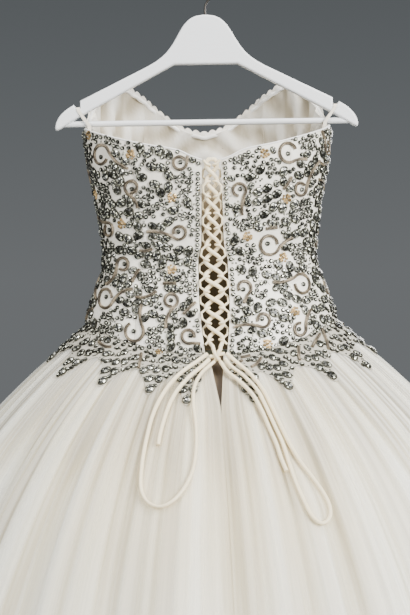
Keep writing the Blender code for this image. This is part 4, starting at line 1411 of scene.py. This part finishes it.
def make_scatter_tree():
    tree = bpy.data.node_groups.new("place_stones", "GeometryNodeTree")
    sockets = [("Geometry", "Geometry")] + [(name, "Object") for name in KINDS]
    for name, form in sockets + [("Finish", "Material")]:
        tree.interface.new_socket(name, in_out="INPUT", socket_type="NodeSocket" + form)
    tree.interface.new_socket("Geometry", in_out="OUTPUT", socket_type="NodeSocketGeometry")
    start = add_node(tree, "NodeGroupInput").outputs
    kind, turn, size = (
        add_node(tree, "GeometryNodeInputNamedAttribute", {"Name": name}, data_type=form)
        .outputs["Attribute"] for name, form in
        (("kind", "INT"), ("turn", "FLOAT_VECTOR"), ("size", "FLOAT_VECTOR")))
    joined = add_node(tree, "GeometryNodeJoinGeometry")
    for number, name in enumerate(KINDS):
        is_kind = add_node(tree, "FunctionNodeCompare", data_type="INT", operation="EQUAL")
        is_kind.inputs[INT_B].default_value = number
        tree.links.new(kind, is_kind.inputs[INT_A])
        source = add_node(tree, "GeometryNodeObjectInfo", {"Object": start[name]})
        place = add_node(tree, "GeometryNodeInstanceOnPoints", {
            "Points": start["Geometry"], "Selection": is_kind.outputs["Result"],
            "Instance": source.outputs["Geometry"], "Rotation": turn, "Scale": size})
        tree.links.new(place.outputs["Instances"], joined.inputs["Geometry"])
    real = add_node(tree, "GeometryNodeRealizeInstances", {"Geometry": joined.outputs["Geometry"]})
    dress = add_node(tree, "GeometryNodeSetMaterial", {
        "Geometry": real.outputs["Geometry"], "Material": start["Finish"]})
    add_node(tree, "NodeGroupOutput", {"Geometry": dress.outputs["Geometry"]})
    return tree


SCATTER = make_scatter_tree()


def bake(source):
    """The mesh that an object's modifiers or curve give. The object itself goes."""
    bpy.context.view_layer.update()
    graph = bpy.context.evaluated_depsgraph_get()
    mesh = bpy.data.meshes.new_from_object(source.evaluated_get(graph))
    bpy.data.objects.remove(source, do_unlink=True)
    return mesh


def surface_frame(point, angle, height):
    """A place on the cloth with its sideways, downward and outward directions."""
    here = point(np.array(angle), np.array(height))
    side = unit(point(np.array(angle + 0.2), np.array(height)) - here)
    down = point(np.array(angle), np.array(height + 0.0005)) - here
    down = unit(down - side * (down @ side))
    return here, side, down, np.cross(down, side)


def scatter(name, point, flat_map, stones):
    """Put a piece's stones on its cloth."""
    places, turns, sizes = [], [], []
    for kind, s, t, size, turn, tone in stones:
        angle, half = angle_at(flat_map, s, t)
        here, side, down, out = surface_frame(point, angle, t)
        first = side * math.cos(turn) + down * math.sin(turn)
        matrix = Matrix([first, np.cross(out, first), out]).transposed()
        narrow, high = (0.76, 0.62) if kind in OVALS else (1.0, 0.80)
        places.append(tuple(here + out * 0.0001))
        turns.append(tuple(matrix.to_euler()))
        sizes.append((size, size * narrow, size * high))
    mesh = bpy.data.meshes.new(name)
    mesh.from_pydata(places, [], [])
    kinds = [list(KINDS).index(stone[0]) for stone in stones]
    for label, form, values, key in (("turn", "FLOAT_VECTOR", turns, "vector"),
                                     ("size", "FLOAT_VECTOR", sizes, "vector"),
                                     ("kind", "INT", kinds, "value"),
                                     ("tone", "FLOAT", [stone[-1] for stone in stones], "value")):
        layer = mesh.attributes.new(label, form, "POINT")
        layer.data.foreach_set(key, np.array(values).ravel())
    holder = add_object(name, mesh)
    modifier = holder.modifiers.new("stones", "NODES")
    modifier.node_group = SCATTER
    for item in SCATTER.interface.items_tree:
        if item.in_out == "INPUT" and item.name != "Geometry":
            modifier[item.identifier] = KINDS.get(item.name, STONES)
    return finish_piece(add_object(name, bake(holder)), "beadwork")


print("One tree places", len(KINDS), "kinds of stone")

# %% [markdown]
# Each panel and each net gets its own stones and cords, so they go with their cloth.

# %% Stones on the cloth
def panel_of(angle):
    for name, (low, high, side) in PANELS.items():
        if name != "front_centre" and side * angle > 0:
            if float(low(0.5)) - 3 <= abs(angle) <= high + 0.2:
                return name
    return "front_centre"


def net_of(angle):
    return f"hem_{'back' if abs(angle) < 90 else 'front'}_{'right' if angle > 0 else 'left'}"


def share_out(layout, name_of):
    """The layout's stones and cords for each piece of cloth."""
    parts = {}
    places = [(stone[1:3], 0, stone) for stone in layout.stones]
    places += [(cord[0], 1, cord) for cord in layout.cords]
    for (s, t), row, item in places:
        angle, half = angle_at(layout.flat_map, s, t)
        parts.setdefault(name_of(angle), ([], []))[row].append(item)
    return parts


def cord_route(point, flat_map, cord):
    route = []
    for s, t in cord:
        angle, half = angle_at(flat_map, s, t)
        here, side, down, out = surface_frame(point, angle, t)
        route.append(here + out * 0.0012)
    return route


on_cloth = {}
for layout, point, name_of in ((bodice_layout, bodice_surface, panel_of),
                               (hem_layout, hem_surface, net_of)):
    for name, (stones, cords) in share_out(layout, name_of).items():
        pieces = [scatter(name + "_stones", point, layout.flat_map, stones)]
        if cords:
            routes = [cord_route(point, layout.flat_map, cord) for cord in cords]
            cording = add_tubes(name + "_cording", routes, 0.0024, 6, BUGLE, 0.9)
            pieces.append(finish_piece(cording, "beadwork"))
        on_cloth[name] = pieces
        print(name, "carries", len(stones), "stones and", len(cords), "cords")
for stone in KINDS.values():
    bpy.data.objects.remove(stone, do_unlink=True)

# %% [markdown]
# The sizes of the dark sheet behind the slit and of the nets are printed.

# %% Cloth sizes
for name, (panel, width, length) in satin_panels.items():
    extra = list(on_cloth.get(name, []))
    if name == "front_centre":
        extra += [piping, cup_lace]
width, length, area = shade_sheet_size
print("underlay is", round(width, 3), "by", round(length, 3), "m, area", round(area, 4))
for name, (net, (width, length, area)) in nets.items():
    print(name, "is", round(width, 3), "by", round(length, 3), "m, area", round(area, 4))

# %% [markdown]
# The hanger is painted wood with a round bar, a dark wire hook, and the dress's two ribbon loops
# over its notches.

# %% Hanger
def soften(points, keep):
    """Cut the corners of a closed outline, but for the ones to keep."""
    softer = []
    for i, spot in enumerate(points):
        if i in keep:
            softer.append(spot)
            continue
        for near in (points[i - 1], points[(i + 1) % len(points)]):
            softer.append((0.25 * near[0] + 0.75 * spot[0], 0.25 * near[1] + 0.75 * spot[1]))
    return softer


def add_hanger():
    half = [(side, -down) for side, down in HANGER_OUTLINE]
    outline = [(0.0, -WOOD_TOP)] + half + [(0.0, -HANGER_NOOK)]
    outline += [(-x, y) for x, y in reversed(half)]
    sharp = {9, 10, 11, 12, 20}
    outline = soften(outline, sharp | {len(outline) - corner for corner in sharp})
    curve = bpy.data.curves.new("hanger", "CURVE")
    curve.dimensions = "2D"
    curve.fill_mode = "BOTH"
    curve.extrude = WOOD_THICKNESS / 2 - WOOD_ROUNDING
    curve.bevel_depth = WOOD_ROUNDING
    curve.bevel_resolution = 3
    curve.offset = -WOOD_ROUNDING
    spline = curve.splines.new("POLY")
    spline.points.add(len(outline) - 1)
    for spot, (x, y) in zip(spline.points, outline):
        spot.co = (x, y, 0.0, 1.0)
    spline.use_cyclic_u = True
    mesh = bake(add_object("hanger_curve", curve))
    mesh.transform(Matrix.Rotation(math.radians(90), 4, "X"))
    mesh.materials.clear()
    mesh.materials.append(WOOD)
    mesh.shade_smooth()
    mesh.set_sharp_from_angle(angle=math.radians(35))
    return add_object("hanger_wood", mesh)


def ribbon_shell(name, side):
    half = [(side * x, -y, -down) for x, y, down in RIBBON_ROUTE]
    route = half + [(x, -y, z) for x, y, z in reversed(half)]
    route = smooth_route(route, 0.0022)
    along = unit(np.gradient(route, axis=0))
    away = unit(np.cross(np.array((1.0, 0.0, 0.0)), along)) * RIBBON_THICKNESS / 2
    across = np.array((RIBBON_WIDTH / 2, 0.0, 0.0))
    steps = np.linspace(-1.0, 1.0, 5)[None, :, None]
    middle = route[:, None, :] + across * steps
    layers = (middle + side * away[:, None, :], middle - side * away[:, None, :])
    passed = np.linspace(0.0, route_length(route), len(route))[:, None]
    uv = np.stack(np.broadcast_arrays(RIBBON_WIDTH / 2 * steps[..., 0], passed), -1)
    return add_shell(name, *layers, uv, [RIBBON])


finish_piece(add_hanger(), "painted_wood", "hanger_body")
bar = [(x, 0.0, -BAR_DOWN) for x in np.linspace(-BAR_HALF_LENGTH, BAR_HALF_LENGTH, 9)]
finish_piece(add_tubes("bar", [bar], BAR_RADIUS, 24, WOOD), "painted_wood", "hanger_bar")
wire = [(side, 0.0, -down) for side, down in STEM_ROUTE]
for degrees in range(HOOK_FROM, HOOK_TO + 1, 5):
    around = math.radians(degrees)
    wire.append((HOOK_RADIUS * math.cos(around), 0.0,
                 WIRE_RADIUS - HOOK_RADIUS + HOOK_RADIUS * math.sin(around)))
finish_piece(add_tubes("hook", [wire], WIRE_RADIUS, 16, WIRE), "hook_wire", "hanger_hook")
for name, side in SIDES:
    finish_piece(ribbon_shell(f"ribbon_{name}", side), "ribbon", f"hanging_loop_{name}")
print("Hanger done")

# %% [markdown]
# A plain grey room with four large soft lights. The strongest stands to the right of the
# camera, and one in front of the dress lights its lining and its far side.

# %% Room and lights
HIGH_GREY, LOW_GREY = (0.096, 0.106, 0.112), (0.149, 0.158, 0.164)
FLOOR_HALF, FLOOR_DOWN = 15, 1.66
# Lights: place, how far down the aim is, width and height, power
LIGHTS = {
    "left_box": ((-2.4, -2.4, 0.9), 0.6, (1.4, 1.8), 101),
    "right_box": ((2.2, -2.6, 0.7), 0.6, (1.4, 1.8), 284),
    "top_box": ((0.2, -0.6, 1.9), 0.4, (1.8, 1.2), 70),
    "front_box": ((1.2, 3.2, 0.6), 0.7, (1.8, 1.8), 110),
}


def add_light(name, place, aim_down, size, power):
    lamp = bpy.data.lights.new(name, "AREA")
    lamp.shape = "RECTANGLE"
    lamp.size, lamp.size_y = size
    lamp.energy = power
    light = add_object(name, lamp)
    light.location = place
    way = Vector((0.0, 0.0, -aim_down)) - Vector(place)
    light.rotation_euler = way.to_track_quat("-Z", "Y").to_euler()


def make_world():
    """Grey on all sides, darker above the dress."""
    world = bpy.data.worlds.new("grey_room")
    world.use_nodes = True
    tree = world.node_tree
    places = add_node(tree, "ShaderNodeTexCoord").outputs["Generated"]
    split = add_node(tree, "ShaderNodeSeparateXYZ", {"Vector": places})
    color = ramp_color(tree, split.outputs["Z"], [(0.02, LOW_GREY), (0.20, HIGH_GREY)])
    tree.links.new(color, tree.nodes["Background"].inputs["Color"])
    bpy.context.scene.world = world


def add_floor():
    """A floor that glows a little, so its far end meets the room's grey."""
    ground = make_material("floor", (0.20, 0.21, 0.22), 0.7)
    shader = ground.node_tree.nodes["Principled BSDF"]
    shader.inputs["Emission Color"].default_value = (*HIGH_GREY, 1.0)
    shader.inputs["Emission Strength"].default_value = 0.8
    corners = [(x * FLOOR_HALF, y * FLOOR_HALF, -FLOOR_DOWN)
               for x, y in ((-1, -1), (1, -1), (1, 1), (-1, 1))]
    return add_mesh("floor", corners, [(0, 1, 2, 3)], [ground])


make_world()
for name, row in LIGHTS.items():
    add_light(name, *row)
add_floor()
print("Lights:", ", ".join(LIGHTS))
